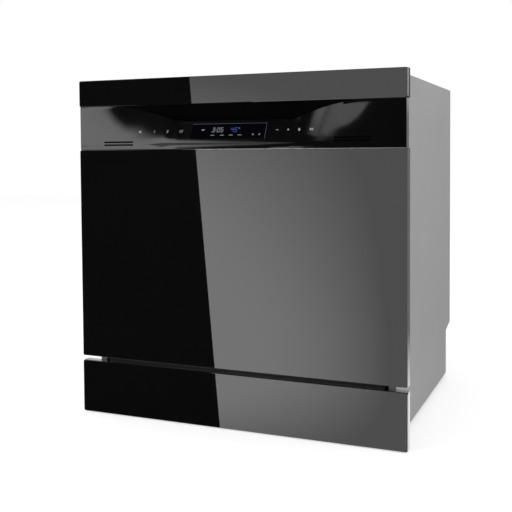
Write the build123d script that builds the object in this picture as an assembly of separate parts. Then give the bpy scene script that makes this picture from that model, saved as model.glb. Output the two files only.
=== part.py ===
from build123d import *
import math
import os

# Semi-integrated dishwasher with a drop-down door. Millimetres.
# X runs across the front, the door faces -Y, Z is up. The origin is the middle of the footprint, on the floor.
# A setback is a distance behind the face of the glass.
# A rise or a drop is a height above or below another piece.

# Overall sizes
OVERALL_WIDTH = 595.0
OVERALL_HEIGHT = 595.0
OVERALL_DEPTH = 500.0

# Clearances
RUNNING_GAP = 0.05
SHAFT_GAP = 0.1
SIDE_GAP = 0.3
CUT_PAST = 1.0

# Front panels
GLASS = 4.0
PANEL_DEPTH = 16.0
PANEL_RIM = 3.0
PANEL_BACK_SHEET = 1.5
PANEL_SEAM = 0.3
SKIRT_BOTTOM = 1.5
SKIRT_HEIGHT = 92.5
SKIRT_DOOR_GAP = 8.5
STRIP_HEIGHT = 46.0
FASCIA_HEIGHT = 76.5
FASCIA_INSET = 1.9
FASCIA_EDGE_RADIUS = 2.0
TOP_RAIL_DROP = 0.5
SKIRT_BRACKET_X = 170.0
SKIRT_BRACKET_WIDTH = 44.0
SKIRT_BRACKET_HEIGHT = 36.0

# Finger recess and vents in the fascia
SCOOP_END = 62.5
SCOOP_FLAT_LENGTH = 220.0
SCOOP_RISE = 7.5
SCOOP_ARC_SHARE = 0.58
SLOPE_DEPTH = 14.0
SLOPE_RISE = 32.0
RIDGE_DEPTH = 24.0
RIDGE_RISE = 12.0
POCKET_DEPTH = 38.0
POCKET_RISE = 6.0
POCKET_HEADROOM = 13.0
POCKET_WALL = 3.0
STRIP_CARRIER = 4.0
HOUSING_END = 5.0
HOUSING_WALL = 2.0
VENT_SLOT = 2.6
VENT_PITCH = 5.0
VENT_DEPTH = 8.0
LEFT_VENT_INSET = 51.5
LEFT_VENT_LENGTH = 58.5
LEFT_VENT_RISE = 3.2
RIGHT_VENT_INSET = 57.5
RIGHT_VENT_LENGTH = 60.0
RIGHT_VENT_RISE = 7.0

# Display window, measured along the slope of the fascia
DISPLAY_LENGTH = 141.0
DISPLAY_SLANT = 6.0
DISPLAY_FOOT = 10.5
DISPLAY_RISE = 28.0
DISPLAY_CENTRE = -9.0
DISPLAY_THICKNESS = 1.2
DISPLAY_PROUD = 0.2

# Control board behind the fascia
BOARD_LENGTH = 260.0
BOARD_HEIGHT = 72.0
BOARD_THICKNESS = 1.6
SPACER = 2.0
SPACER_RADIUS = 3.0
SPACER_INSET = 10.0
TRANSFORMER = (-100.0, -60.0, 15.0, 50.0, 9.0)
PROCESSOR = (-40.0, -10.0, 10.0, 40.0, 4.0)
RELAY = (20.0, 44.0, 20.0, 44.0, 8.0)
PLUG_SOCKET = (70.0, 110.0, 10.0, 22.0, 6.0)

# Casing
BODY_INSET = 23.5
BODY_TOP_DROP = 1.0
BODY_BOTTOM = 7.0
BODY_SETBACK = 22.0
SHEET = 1.0
FRONT_RETURN = 12.0
REAR_RETURN = 16.0
REAR_RECESS = 45.0
RECESS_HEIGHT = 89.0
RECESS_SLOPE = 10.0
BASE_COVER_INSET = 18.0
BASE_COVER_HEIGHT = 99.0
BASE_COVER = 1.5
TRAY_FLOOR = 2.5
TRAY_WALL_HEIGHT = 24.0
WORKTOP_HOLE_SPACING = 440.0
WORKTOP_HOLE_RADIUS = 2.5
WORKTOP_HOLE_SETBACK = 40.0
SCREW_RADIUS = 1.9
SCREW_HEAD_RADIUS = 4.0
SCREW_HEAD = 0.9
SCREW_CROSS_DEPTH = 0.5
SCREW_CROSS_ARM = 2.4
SCREW_CROSS_HALF_WIDTH = 0.5
SCREW_LENGTH = 9.0
LOW_SCREW_RISE = 30.0
HIGH_SCREW_DROP = 44.0

# Feet
FOOT_RADIUS = 17.0
FOOT_HEXAGON_RADIUS = 12.75
FOOT_STUD_RADIUS = 4.0
FOOT_PAD_GAP = 0.3
FOOT_BOSS_RADIUS = 8.0
FOOT_BOSS_HEIGHT = 16.0
FOOT_STUD_RISE = 4.0
FOOT_INSET_X = 44.0
FOOT_FRONT_SETBACK = 50.0
FOOT_REAR_INSET = 75.0

# Leak float in the tray
FLOAT_INSET_X = 74.0
FLOAT_BEHIND_MIDDLE = 47.5
FLOAT_RADIUS = 18.0
FLOAT_HEIGHT = 12.0
FLOAT_PIN_RADIUS = 3.0
FLOAT_PIN_HEIGHT = 30.5

# Door hinge
HINGE_SETBACK = 9.5
HINGE_RISE = 8.5
HINGE_EYE_RADIUS = 5.0
HINGE_PIN_RADIUS = 3.0
HINGE_PLATE = 3.0
HINGE_PLATE_INSET = 10.5
HINGE_SIDE_GAP = 2.5
HINGE_PLATE_LENGTH = 150.0
HINGE_HORN_SETBACK = 60.0
HINGE_NECK_SETBACK = 36.0
HINGE_KNEE_SETBACK = 120.0
ARM_SCREW_HEIGHT = 69.0
ARM_FLANGE = 14.0
ARM_FLANGE_THICKNESS = 2.0
HOOK_REACH = 28.0
SPRING_RADIUS = 4.5
SPRING_WALL = 1.4
SPRING_BESIDE_PLATE = 11.0
SPRING_ANCHOR_SETBACK = 200.0
SPRING_ANCHOR_HEIGHT = 60.0
SPRING_TAIL_HALF_HEIGHT = 10.0
SPRING_PIN_RADIUS = 2.0

# Latch
STRIKE_WIDTH = 12.0
STRIKE_TONGUE_DROP = 11.0
STRIKE_THICKNESS = 2.0
STRIKE_TIP_SETBACK = 10.0
STRIKE_FOOT_HALF_HEIGHT = 6.0
LATCH_POCKET = 28.0
LEVER_LENGTH = 9.0
LEVER_PIVOT_SETBACK = 12.0
LEVER_PIN_RADIUS = 1.5
LEVER_PIN_DEPTH = 3.0
LEVER_HUB_RADIUS = 3.0
LEVER_HUB_LENGTH = 12.0
LEVER_WIDTH = 10.0
LEVER_THICKNESS = 2.8

# Door inner panel
DOOR_DEPTH = 60.0
LINER_INSET = 18.0
LINER_BOTTOM_RISE = 2.0
LINER_TOP_DROP = 18.0
LINER_CORNER = 12.0

# Detergent dispenser
DISPENSER_WIDTH = 120.0
DISPENSER_HEIGHT = 122.0
DISPENSER_DROP = 177.0
DISPENSER_DEPTH = 26.0
DISPENSER_FLANGE = 1.5
DISPENSER_FLANGE_REACH = 6.0
CUP_LEFT_INSET = 12.0
CUP_WIDTH = 56.0
CUP_HEIGHT = 58.0
CUP_DROP = 20.0
CUP_DEPTH = 20.0
LID_THICKNESS = 2.0
LID_OVERLAP = 6.0
LID_RAIL = 3.0
LID_RAIL_LIP = 2.3
LID_RIB = 3.0
LID_RIB_HEIGHT = 1.6
LID_RIB_HALF_LENGTH = 16.0
RINSE_INSET = 35.0
RINSE_RISE = 20.0
RINSE_CAP_RADIUS = 12.0
RINSE_CAP_THICKNESS = 2.0
RINSE_PLUG_RADIUS = 8.0
RINSE_PLUG_DEPTH = 11.0
RINSE_WELL_DEPTH = 14.0

# Tub, inner faces
TUB_INSET = 29.0
TUB_FLOOR = 161.7
TUB_CEILING_DROP = 29.0
TUB_FRONT = 64.0
TUB_BACK_INSET = 39.0
TUB_CORNER = 8.0
BASIN_RADIUS = 109.0
BASIN_DEPTH = 41.0
GASKET_WIDTH = 8.0
GASKET_GAP = 0.3
GASKET_CLEARANCE = 2.0
GASKET_FOOT_RISE = 4.0
FELT = 6.0
FELT_FRONT_GAP = 6.0
FELT_BACK_GAP = 4.0

# Water parts
HUB_RADIUS = 12.0
SPIGOT_RADIUS = 10.0
SPIGOT_BORE = 6.0
ARM_HEIGHT = 10.0
ARM_ROOT_RADIUS = 22.0
ARM_TIP_RADIUS = 13.0
ARM_EDGE_RADIUS = 2.5
JET_RADIUS = 1.4
JET_START = 36.0
JET_SIDE_STEP = 4.0
JETS_PER_WING = 5
HUB_CAP = 2.7
HUB_CAP_RIM = 4.0
HUB_CAP_LID = 1.0
NUT_HEIGHT = 5.0
NUT_FLOOR = 2.0
UPPER_HUB_PLATE_RADIUS = 24.0
LOWER_ARM_RISE = 14.3
LOWER_ARM_REACH = 178.0
UPPER_ARM_DROP = 36.0
UPPER_ARM_REACH = 165.0
FEED_PIPE_RADIUS = 7.0
FEED_PIPE_HEIGHT = 111.0
DUCT_WIDTH = 24.0
DUCT_DEPTH = 15.0
DUCT_TOP_DROP = 1.0
DOCK_DROP = 14.0
DOCK_RADIUS = 8.0
DOCK_REACH = 6.0
FILTER_X = 52.0
FILTER_RADIUS = 30.0
FILTER_RIM = 36.0
FILTER_DEPTH = 60.0
FILTER_WALL = 2.0
FILTER_GRIP = 9.0
FILTER_PLATE = 1.5
FILTER_PLATE_OVERLAP = 9.0
FILTER_HOLE_RADIUS = 2.2
FILTER_HOLE_RINGS = ((98.0, 48), (88.0, 44))
SUMP_RADIUS = 34.0
SUMP_BOTTOM = 45.0
SUMP_WALL = 2.5
SUMP_FLANGE = 3.0
SUCTION_RADIUS = 13.0
SUCTION_BORE = 10.5
DRAIN_SEAT_RADIUS = 22.0
DRAIN_SEAT_BORE = 12.0
DRAIN_SEAT_REACH = 6.0
PUMP_AXIS_HEIGHT = 58.0
PUMP_INLET_X = -66.0
PUMP_OUTLET_TOP = 102.0
VOLUTE_RADIUS = 45.0
VOLUTE_WIDTH = 34.0
VOLUTE_WALL = 4.0
MOTOR_RADIUS = 36.0
MOTOR_LENGTH = 96.0
SADDLE_LENGTH = 20.0
SADDLE_HALF_WIDTH = 30.0
IMPELLER_RADIUS = 34.0
IMPELLER_GAP = 3.0
IMPELLER_DISC = 3.0
IMPELLER_BLADE = 10.0
ROTOR_SHAFT_RADIUS = 4.0
DRAIN_PUMP_RADIUS = 24.0
DRAIN_PUMP_LENGTH = 18.0
DRAIN_MOTOR_RADIUS = 18.0
DRAIN_MOTOR_LENGTH = 44.0
DRAIN_PUMP_REACH = 34.0
HEATER_RADIUS = 96.0
HEATER_TUBE = 4.0
HEATER_SPREAD_ANGLE = 14.0
HEATER_HEIGHT = 14.0
HEATER_TAIL = 10.0
SOFTENER_WIDTH = 126.0
SOFTENER_LENGTH = 132.0
SOFTENER_CORNER = 12.0
SOFTENER_DROP = 20.0
SALT_INSET_X = 75.0
SALT_SETBACK = 130.0
SALT_NECK_RADIUS = 26.0
SALT_NECK_WALL = 5.0
SALT_NECK_RISE = 2.0
SALT_WELL_FLOOR = 6.0
SALT_PLUG = 14.0
SALT_CAP_RIM = 3.0
SALT_CAP_THICKNESS = 4.0
SALT_GRIP_HALF_LENGTH = 20.0
SALT_GRIP_HALF_WIDTH = 3.0

# Hoses, valve and supply on the lower back
INLET_X = -180.0
DRAIN_X = 120.0
SPIGOT_HEIGHT = 62.0
SPIGOT_COLLAR = 1.5
SPIGOT_COLLAR_LENGTH = 1.0
INLET_THREAD_RADIUS = 13.2
INLET_LENGTH = 15.0
INLET_BORE = 7.0
DRAIN_SPIGOT_RADIUS = 10.0
DRAIN_LENGTH = 22.0
DRAIN_FLANGE = 5.0
DRAIN_FLANGE_THICKNESS = 3.0
HOSE_WALL = 2.0
FILL_HOSE_RADIUS = 6.0
FILL_HEIGHT = 210.0
CHAMBER_WIDTH = 18.0
CHAMBER_REAR_GAP = 100.0
CHAMBER_LENGTH = 280.0
CHAMBER_BOTTOM = 190.0
CHAMBER_HEIGHT = 310.0
CHANNEL_DEPTH = 4.0
CHANNEL_HEIGHT = 8.0
CHANNEL_LENGTH = 200.0
CHANNEL_PITCH = 62.0
VALVE_WIDTH = 36.0
VALVE_DEPTH = 40.0
VALVE_BOTTOM_DROP = 22.0
VALVE_TOP_RISE = 22.0
VALVE_LEG_INSET = 4.0
TERMINAL_INSET_X = 69.0
TERMINAL_HALF_WIDTH = 26.0
TERMINAL_DEPTH = 26.0
TERMINAL_BOTTOM = 34.0
TERMINAL_HEIGHT = 52.0
TERMINAL_CORNER = 4.0
TERMINAL_LID = 2.0
GLAND_RADIUS = 9.0
GLAND_BORE = 4.5
GLAND_LENGTH = 12.0
GLAND_DEPTH = 6.0

# Racks
RACK_INSET = 23.0
RACK_BACK_GAP = 25.0
RACK_BAR = 4.0
RACK_PITCH = 40.0
WIRE_RADIUS = 1.5
LOWER_RACK_FRONT = 100.0
LOWER_RACK_RISE = 29.3
LOWER_RACK_HEIGHT = 99.0
UPPER_RACK_FRONT = 75.0
UPPER_RACK_DROP = 180.0
UPPER_RACK_HEIGHT = 84.0
TINE_RADIUS = 1.75
TINE_PITCH = 26.0
TINE_HEIGHT = 52.0
TINE_STRIP = 3.0
TINE_END_GAP = 30.0
TINE_INSETS = (32.0, 102.0, 202.0, 272.0)
WHEEL_RADIUS = 13.0
WHEEL_WIDTH = 9.5
WHEEL_RISE = 0.3
WHEEL_FRONT_INSET = 90.0
WHEEL_REAR_INSET = 26.0
WHEEL_HOLE_RADIUS = 2.0
WHEEL_HOLE_CIRCLE = 8.0
AXLE_RADIUS = 3.0
AXLE_SHOULDER = 4.0
AXLE_HEAD = 1.5
AXLE_COLLAR = 2.0
HANGER_HALF_WIDTH = 9.0
HANGER_DROP = 8.0
RAIL_RISE = 9.0
RAIL_HEIGHT = 10.0
RAIL_WIDTH = 12.0
RAIL_WALL = 1.5
ROLLER_RADIUS = 8.0
ROLLER_WIDTH = 8.5
ROLLER_SETBACKS = (88.0, 132.0)
ROLLER_INSET = 3.0
ROLLER_HEAD = 1.4
BRACKET_THICKNESS = 2.0
BRACKET_MARGIN = 13.0
BRACKET_DROP = 12.0
BRACKET_RISE = 14.0
GLIDE_THICKNESS = 3.7
SHELF_RISE = 54.0
SHELF_WIDTH = 78.0
SHELF_PITCH = 22.0
SHELF_AXIS_INSET = 5.0
SHELF_ROD_RADIUS = 2.0
SHELF_END_GAP = 10.0
SHELF_ROD_END = 8.0
SHELF_ARM_INSET = 20.0
EYE_FRONT_INSET = 55.0
EYE_REAR_INSET = 56.0
EYE_HALF = 4.0
EYE_HALF_LENGTH = 5.0
BASKET_INSET = 10.0
BASKET_WIDTH = 80.0
BASKET_FRONT_GAP = 20.0
BASKET_LENGTH = 210.0
BASKET_WALL = 2.0
BASKET_HEIGHT = 92.0
BASKET_SLOT_HALF_WIDTH = 5.0
BASKET_END_GAP = 14.0
BASKET_SLOT_BOTTOM = 12.0
BASKET_SLOT_TOP = 14.0
BASKET_LONG_PITCH = 18.0
BASKET_CROSS_PITCH = 16.0

# Worked out from the sizes above
FRONT = -OVERALL_DEPTH / 2
REAR = OVERALL_DEPTH / 2
HALF_FRONT = OVERALL_WIDTH / 2
HALF_BODY = HALF_FRONT - BODY_INSET
HALF_TUB = HALF_BODY - TUB_INSET
HALF_RACK = HALF_TUB - RACK_INSET
HALF_LINER = HALF_BODY - LINER_INSET
SKIRT_TOP = SKIRT_BOTTOM + SKIRT_HEIGHT
DOOR_BOTTOM = SKIRT_TOP + SKIRT_DOOR_GAP
STRIP_BOTTOM = OVERALL_HEIGHT - STRIP_HEIGHT
FASCIA_BOTTOM = STRIP_BOTTOM - FASCIA_HEIGHT
SCOOP_LENGTH = OVERALL_WIDTH - 2 * SCOOP_END
SCOOP_BOTTOM = FASCIA_BOTTOM + SCOOP_RISE
SLOPE_TOP = SCOOP_BOTTOM + SLOPE_RISE
RIDGE_HEIGHT = SLOPE_TOP + RIDGE_RISE
POCKET_FLOOR = RIDGE_HEIGHT + POCKET_RISE
POCKET_TOP = STRIP_BOTTOM + POCKET_HEADROOM
HOUSING_LENGTH = SCOOP_LENGTH + 2 * HOUSING_END
BODY_TOP = OVERALL_HEIGHT - BODY_TOP_DROP
RECESS_BOTTOM = BODY_BOTTOM + RECESS_HEIGHT
RECESS_TOP = RECESS_BOTTOM + RECESS_SLOPE
BASE_COVER_TOP = BODY_BOTTOM + BASE_COVER_HEIGHT
TRAY_TOP = BODY_BOTTOM + TRAY_FLOOR
LOWER_BACK_Y = REAR - REAR_RECESS
HINGE_HEIGHT = DOOR_BOTTOM + HINGE_RISE
HINGE_PLATE_X = HALF_BODY - HINGE_PLATE_INSET
SPRING_X = HINGE_PLATE_X - SPRING_BESIDE_PLATE
STRIKE_TONGUE_BOTTOM = OVERALL_HEIGHT - STRIKE_TONGUE_DROP
LEVER_PIVOT_HEIGHT = STRIKE_TONGUE_BOTTOM - LEVER_LENGTH
LINER_BOTTOM = HINGE_HEIGHT + LINER_BOTTOM_RISE
LINER_TOP = OVERALL_HEIGHT - LINER_TOP_DROP
DISPENSER_TOP = LINER_TOP - DISPENSER_DROP
DISPENSER_BOTTOM = DISPENSER_TOP - DISPENSER_HEIGHT
DISPENSER_LEFT = -DISPENSER_WIDTH / 2
DISPENSER_RIGHT = DISPENSER_WIDTH / 2
CUP_LEFT = DISPENSER_LEFT + CUP_LEFT_INSET
CUP_RIGHT = CUP_LEFT + CUP_WIDTH
CUP_TOP = DISPENSER_TOP - CUP_DROP
CUP_BOTTOM = CUP_TOP - CUP_HEIGHT
RINSE_X = DISPENSER_RIGHT - RINSE_INSET
RINSE_Z = DISPENSER_BOTTOM + RINSE_RISE
TUB_CEILING = OVERALL_HEIGHT - TUB_CEILING_DROP
TUB_BACK = OVERALL_DEPTH - TUB_BACK_INSET
SPRAY_SETBACK = (TUB_FRONT + TUB_BACK) / 2
BASIN_BOTTOM = TUB_FLOOR - BASIN_DEPTH
LOWER_ARM_BOTTOM = TUB_FLOOR + LOWER_ARM_RISE
VOLUTE_END = PUMP_INLET_X - VOLUTE_WIDTH
MOTOR_END = VOLUTE_END - MOTOR_LENGTH
SALT_X = SALT_INSET_X - HALF_TUB
CHAMBER_X = SHEET - HALF_BODY
CHAMBER_BACK = OVERALL_DEPTH - CHAMBER_REAR_GAP
CHAMBER_FRONT = CHAMBER_BACK - CHAMBER_LENGTH
CHAMBER_TOP = CHAMBER_BOTTOM + CHAMBER_HEIGHT
VALVE_TOP = SPIGOT_HEIGHT + VALVE_TOP_RISE
TERMINAL_X = HALF_BODY - TERMINAL_INSET_X
RACK_BACK = TUB_BACK - RACK_BACK_GAP
LOWER_RACK_BOTTOM = TUB_FLOOR + LOWER_RACK_RISE
LOWER_RACK_TOP = LOWER_RACK_BOTTOM + LOWER_RACK_HEIGHT
UPPER_RACK_BOTTOM = TUB_CEILING - UPPER_RACK_DROP
UPPER_RACK_TOP = UPPER_RACK_BOTTOM + UPPER_RACK_HEIGHT
UPPER_ARM_BOTTOM = UPPER_RACK_BOTTOM - UPPER_ARM_DROP
DUCT_TOP = UPPER_RACK_BOTTOM - DUCT_TOP_DROP
DOCK_HEIGHT = UPPER_RACK_BOTTOM - DOCK_DROP
DOCK_SETBACK = TUB_BACK - DUCT_DEPTH - DOCK_REACH
WHEEL_SETBACKS = (LOWER_RACK_FRONT + WHEEL_FRONT_INSET, RACK_BACK - WHEEL_REAR_INSET)
WHEEL_HEIGHT = TUB_FLOOR + WHEEL_RADIUS + WHEEL_RISE
RAIL_BOTTOM = UPPER_RACK_BOTTOM + RAIL_RISE
SHELF_HEIGHT = UPPER_RACK_BOTTOM + SHELF_RISE
EYE_SETBACKS = (UPPER_RACK_FRONT + EYE_FRONT_INSET, RACK_BACK - EYE_REAR_INSET)
TINE_ROWS = [inset - HALF_RACK for inset in TINE_INSETS]
BASKET_RIGHT = HALF_RACK - BASKET_INSET
BASKET_LEFT = BASKET_RIGHT - BASKET_WIDTH
BASKET_FRONT = LOWER_RACK_FRONT + BASKET_FRONT_GAP
BASKET_BACK = BASKET_FRONT + BASKET_LENGTH


def at(setback):
    """Y of a point that lies this far behind the face of the glass."""
    return FRONT + setback


SPRAY_Y = at(SPRAY_SETBACK)
UPPER_ARM_Y = at((UPPER_RACK_FRONT + RACK_BACK) / 2)
HINGE_Y = at(HINGE_SETBACK)
FLOAT_X = HALF_BODY - FLOAT_INSET_X
FLOAT_Y = SPRAY_Y + FLOAT_BEHIND_MIDDLE


def block(x0, x1, y0, y1, z0, z1):
    """Box between two corners."""
    centre = Pos((x0 + x1) / 2, (y0 + y1) / 2, (z0 + z1) / 2)
    return centre * Box(x1 - x0, y1 - y0, z1 - z0)


def rod_x(x0, x1, y, z, radius):
    """Cylinder along X."""
    return Pos((x0 + x1) / 2, y, z) * Rot(0, 90, 0) * Cylinder(radius, x1 - x0)


def rod_y(x, y0, y1, z, radius):
    """Cylinder along Y."""
    return Pos(x, (y0 + y1) / 2, z) * Rot(90, 0, 0) * Cylinder(radius, y1 - y0)


def rod_z(x, y, z0, z1, radius):
    """Cylinder along Z."""
    return Pos(x, y, (z0 + z1) / 2) * Cylinder(radius, z1 - z0)


def side_plate(points, x0, x1):
    """Plate in the YZ plane, from (y, z) points, between two X planes."""
    outline = [(0, y, z) for y, z in points]
    face = Face(Wire.make_polygon([Vector(*p) for p in outline], close=True))
    return Pos(x0, 0, 0) * extrude(face, amount=x1 - x0, dir=(1, 0, 0))


def mirrored(solid):
    """The solid and its mirror image across the middle of the object."""
    return [solid, mirror(solid, about=Plane.YZ)]


def spaced(first, last, pitch):
    """Even positions between two ends, with steps of about one pitch."""
    count = max(1, round((last - first) / pitch))
    step = (last - first) / count
    return [first + step * i for i in range(count + 1)]


# Casing

def casing_outline(inset):
    """Side view of the casing, with the lower rear set forward, drawn in from its edges by inset."""
    front = at(BODY_SETBACK)
    return [
        (front, BODY_BOTTOM), (front, BODY_TOP - SHEET), (REAR - inset, BODY_TOP - SHEET),
        (REAR - inset, RECESS_TOP), (LOWER_BACK_Y - inset, RECESS_BOTTOM), (LOWER_BACK_Y - inset,
                                                                            BODY_BOTTOM),
    ]


def screw_places():
    """Where the back panel is screwed to the returns of the two sides."""
    x = HALF_BODY - SHEET - REAR_RETURN / 2
    low = RECESS_TOP + LOW_SCREW_RISE
    high = BODY_TOP - HIGH_SCREW_DROP
    heights = (low, (low + high) / 2, high)
    return [(side * x, z) for side in (-1, 1) for z in heights]


def side_panels():
    """Two side sheets, each with a front return that the hinge passes and a rear return for the screws."""
    inner = HALF_BODY - SHEET
    front = at(BODY_SETBACK)
    skin = side_plate(casing_outline(0), inner, HALF_BODY)
    front_lip = block(inner - FRONT_RETURN + SHEET, inner, front, front + SHEET, BODY_BOTTOM,
                      BODY_TOP - SHEET)
    slot_low = HINGE_HEIGHT - 2 * HINGE_EYE_RADIUS
    slot_high = HINGE_HEIGHT + 3 * HINGE_EYE_RADIUS
    hinge_slot = block(inner - FRONT_RETURN, HINGE_PLATE_X + 2 * HINGE_PLATE, front - CUT_PAST,
                       front + SHEET + CUT_PAST, slot_low, slot_high)
    rear_lip = block(inner - REAR_RETURN, inner, REAR - 2 * SHEET, REAR - SHEET, RECESS_TOP + 4 * SHEET,
                     BODY_TOP - SHEET)
    panel = skin + (front_lip - hinge_slot) + rear_lip
    for x, z in screw_places():
        if x > 0:
            panel -= rod_y(x, REAR - 3 * SHEET, REAR, z, SCREW_RADIUS)
    return mirrored(panel)


def screws():
    """Cross-headed screws that hold the back panel."""
    made = []
    for x, z in screw_places():
        shank = rod_y(x, REAR - SCREW_LENGTH, REAR - SHEET, z, SCREW_RADIUS)
        head = rod_y(x, REAR - SHEET, REAR - SHEET + SCREW_HEAD, z, SCREW_HEAD_RADIUS)
        floor = REAR - SHEET + SCREW_HEAD - SCREW_CROSS_DEPTH
        arm = SCREW_CROSS_ARM
        half = SCREW_CROSS_HALF_WIDTH
        cross = block(x - arm, x + arm, floor, REAR, z - half, z + half)
        cross += block(x - half, x + half, floor, REAR, z - arm, z + arm)
        made.append(shank + head - cross)
    return made


def back_panel():
    """Rear sheet that follows the step of the casing, with dimples for its screws."""
    inner = HALF_BODY - SHEET
    points = [
        (REAR - SHEET, BODY_TOP - SHEET), (REAR, BODY_TOP - SHEET), (REAR, RECESS_TOP),
        (LOWER_BACK_Y, RECESS_BOTTOM), (LOWER_BACK_Y, BODY_BOTTOM), (LOWER_BACK_Y - SHEET, BODY_BOTTOM),
        (LOWER_BACK_Y - SHEET, RECESS_BOTTOM + SHEET), (REAR - SHEET, RECESS_TOP + SHEET),
    ]
    panel = side_plate(points, -inner, inner)
    for x, z in screw_places():
        panel -= rod_y(x, REAR - SHEET - CUT_PAST, REAR + CUT_PAST, z, SCREW_HEAD_RADIUS)
    for x, radius in ((INLET_X, INLET_THREAD_RADIUS), (DRAIN_X, DRAIN_SPIGOT_RADIUS)):
        panel -= rod_y(x, LOWER_BACK_Y - SHEET - CUT_PAST, LOWER_BACK_Y + CUT_PAST, SPIGOT_HEIGHT,
                       radius + SPIGOT_COLLAR + SIDE_GAP)
    return [panel]


def top_cover():
    """Top sheet with a front lip, notched for the latch, and two holes that take worktop screws."""
    inner = HALF_BODY - SHEET
    front = at(BODY_SETBACK)
    cover = block(-HALF_BODY, HALF_BODY, front, REAR, BODY_TOP - SHEET, BODY_TOP)
    lip = block(-inner + FRONT_RETURN, inner - FRONT_RETURN, front, front + SHEET,
                BODY_TOP - FRONT_RETURN, BODY_TOP - SHEET)
    notch = block(-STRIKE_WIDTH, STRIKE_WIDTH, front - CUT_PAST, front + SHEET + CUT_PAST,
                  BODY_TOP - FRONT_RETURN - CUT_PAST, BODY_TOP - 3 * SHEET)
    cover += lip - notch
    for side in (-1, 1):
        hole = rod_z(side * WORKTOP_HOLE_SPACING / 2, at(WORKTOP_HOLE_SETBACK), BODY_TOP - SHEET - CUT_PAST,
                     BODY_TOP + CUT_PAST, WORKTOP_HOLE_RADIUS)
        cover -= hole
    return [cover]


def foot_places():
    """Name and centre of each foot."""
    x = HALF_BODY - FOOT_INSET_X
    rear = REAR - FOOT_REAR_INSET
    return {
        "foot_front_left": (-x, at(FOOT_FRONT_SETBACK)),
        "foot_front_right": (x, at(FOOT_FRONT_SETBACK)),
        "foot_rear_left": (-x, rear),
        "foot_rear_right": (x, rear),
    }


def base_tray():
    """Open tray that catches leaks, with bosses for the feet and a pin that guides the leak float."""
    inner = HALF_BODY - SHEET
    y0 = at(BODY_SETBACK) + BASE_COVER
    y1 = LOWER_BACK_Y - SHEET
    wall = TRAY_FLOOR
    tray = block(-inner, inner, y0, y1, BODY_BOTTOM, BODY_BOTTOM + TRAY_WALL_HEIGHT)
    tray -= block(-inner + wall, inner - wall, y0 + wall, y1 - wall, TRAY_TOP,
                  BODY_BOTTOM + TRAY_WALL_HEIGHT + CUT_PAST)
    for x, y in foot_places().values():
        tray += rod_z(x, y, BODY_BOTTOM, BODY_BOTTOM + FOOT_BOSS_HEIGHT, FOOT_BOSS_RADIUS)
        tray -= rod_z(x, y, 0, BODY_BOTTOM + FOOT_BOSS_HEIGHT + CUT_PAST, FOOT_STUD_RADIUS + RUNNING_GAP)
    tray += rod_z(FLOAT_X, FLOAT_Y, TRAY_TOP, TRAY_TOP + FLOAT_PIN_HEIGHT, FLOAT_PIN_RADIUS)
    return [tray]


def foot(name):
    """Round foot on a threaded stud, with a hexagon that a spanner turns."""
    x, y = foot_places()[name]
    pad_top = BODY_BOTTOM - FOOT_PAD_GAP
    pad = rod_z(x, y, 0, pad_top / 2, FOOT_RADIUS)
    hexagon = RegularPolygon(FOOT_HEXAGON_RADIUS, 6)
    pad += Pos(x, y, pad_top / 2) * extrude(hexagon, amount=pad_top / 2, dir=(0, 0, 1))
    stud = rod_z(x, y, pad_top / 2, BODY_BOTTOM + FOOT_BOSS_HEIGHT + FOOT_STUD_RISE, FOOT_STUD_RADIUS)
    return [pad + stud]


def leak_float():
    """Foam ring on the tray's pin, which rises when water stands in the tray."""
    bottom = TRAY_TOP + SIDE_GAP
    top = bottom + FLOAT_HEIGHT
    ring = rod_z(FLOAT_X, FLOAT_Y, bottom, top, FLOAT_RADIUS)
    return [ring - rod_z(FLOAT_X, FLOAT_Y, bottom - CUT_PAST, top + CUT_PAST, FLOAT_PIN_RADIUS + SIDE_GAP)]


def base_front_cover():
    """Black sheet behind the gap between door and skirt."""
    front = at(BODY_SETBACK)
    half = HALF_BODY - BASE_COVER_INSET
    return [block(-half, half, front, front + BASE_COVER, BODY_BOTTOM, BASE_COVER_TOP)]


def plinth_glass():
    """Glass face of the skirt under the door."""
    return [block(-HALF_FRONT, HALF_FRONT, FRONT, at(GLASS), SKIRT_BOTTOM, SKIRT_TOP)]


def plinth_frame():
    """Metal pan behind the skirt glass, open towards it, with two spacers that meet the base cover."""
    pan = block(-HALF_FRONT, HALF_FRONT, at(GLASS), at(PANEL_DEPTH), SKIRT_BOTTOM, SKIRT_TOP)
    pan -= block(-HALF_FRONT + PANEL_RIM, HALF_FRONT - PANEL_RIM, at(GLASS) - CUT_PAST,
                 at(PANEL_DEPTH - PANEL_BACK_SHEET), SKIRT_BOTTOM + PANEL_RIM, SKIRT_TOP - PANEL_RIM)
    for side in (-1, 1):
        x = side * SKIRT_BRACKET_X
        half = SKIRT_BRACKET_WIDTH / 2
        low = (SKIRT_BOTTOM + SKIRT_TOP - SKIRT_BRACKET_HEIGHT) / 2
        pan += block(x - half, x + half, at(PANEL_DEPTH), at(BODY_SETBACK), low, low + SKIRT_BRACKET_HEIGHT)
    return [pan]


# Door

def door_glass():
    """Tall glass face of the door."""
    return [block(-HALF_FRONT, HALF_FRONT, FRONT, at(GLASS), DOOR_BOTTOM, FASCIA_BOTTOM - PANEL_SEAM)]


def top_strip_glass():
    """Glass strip above the finger recess."""
    return [block(-HALF_FRONT, HALF_FRONT, FRONT, at(GLASS), STRIP_BOTTOM, OVERALL_HEIGHT)]


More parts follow.
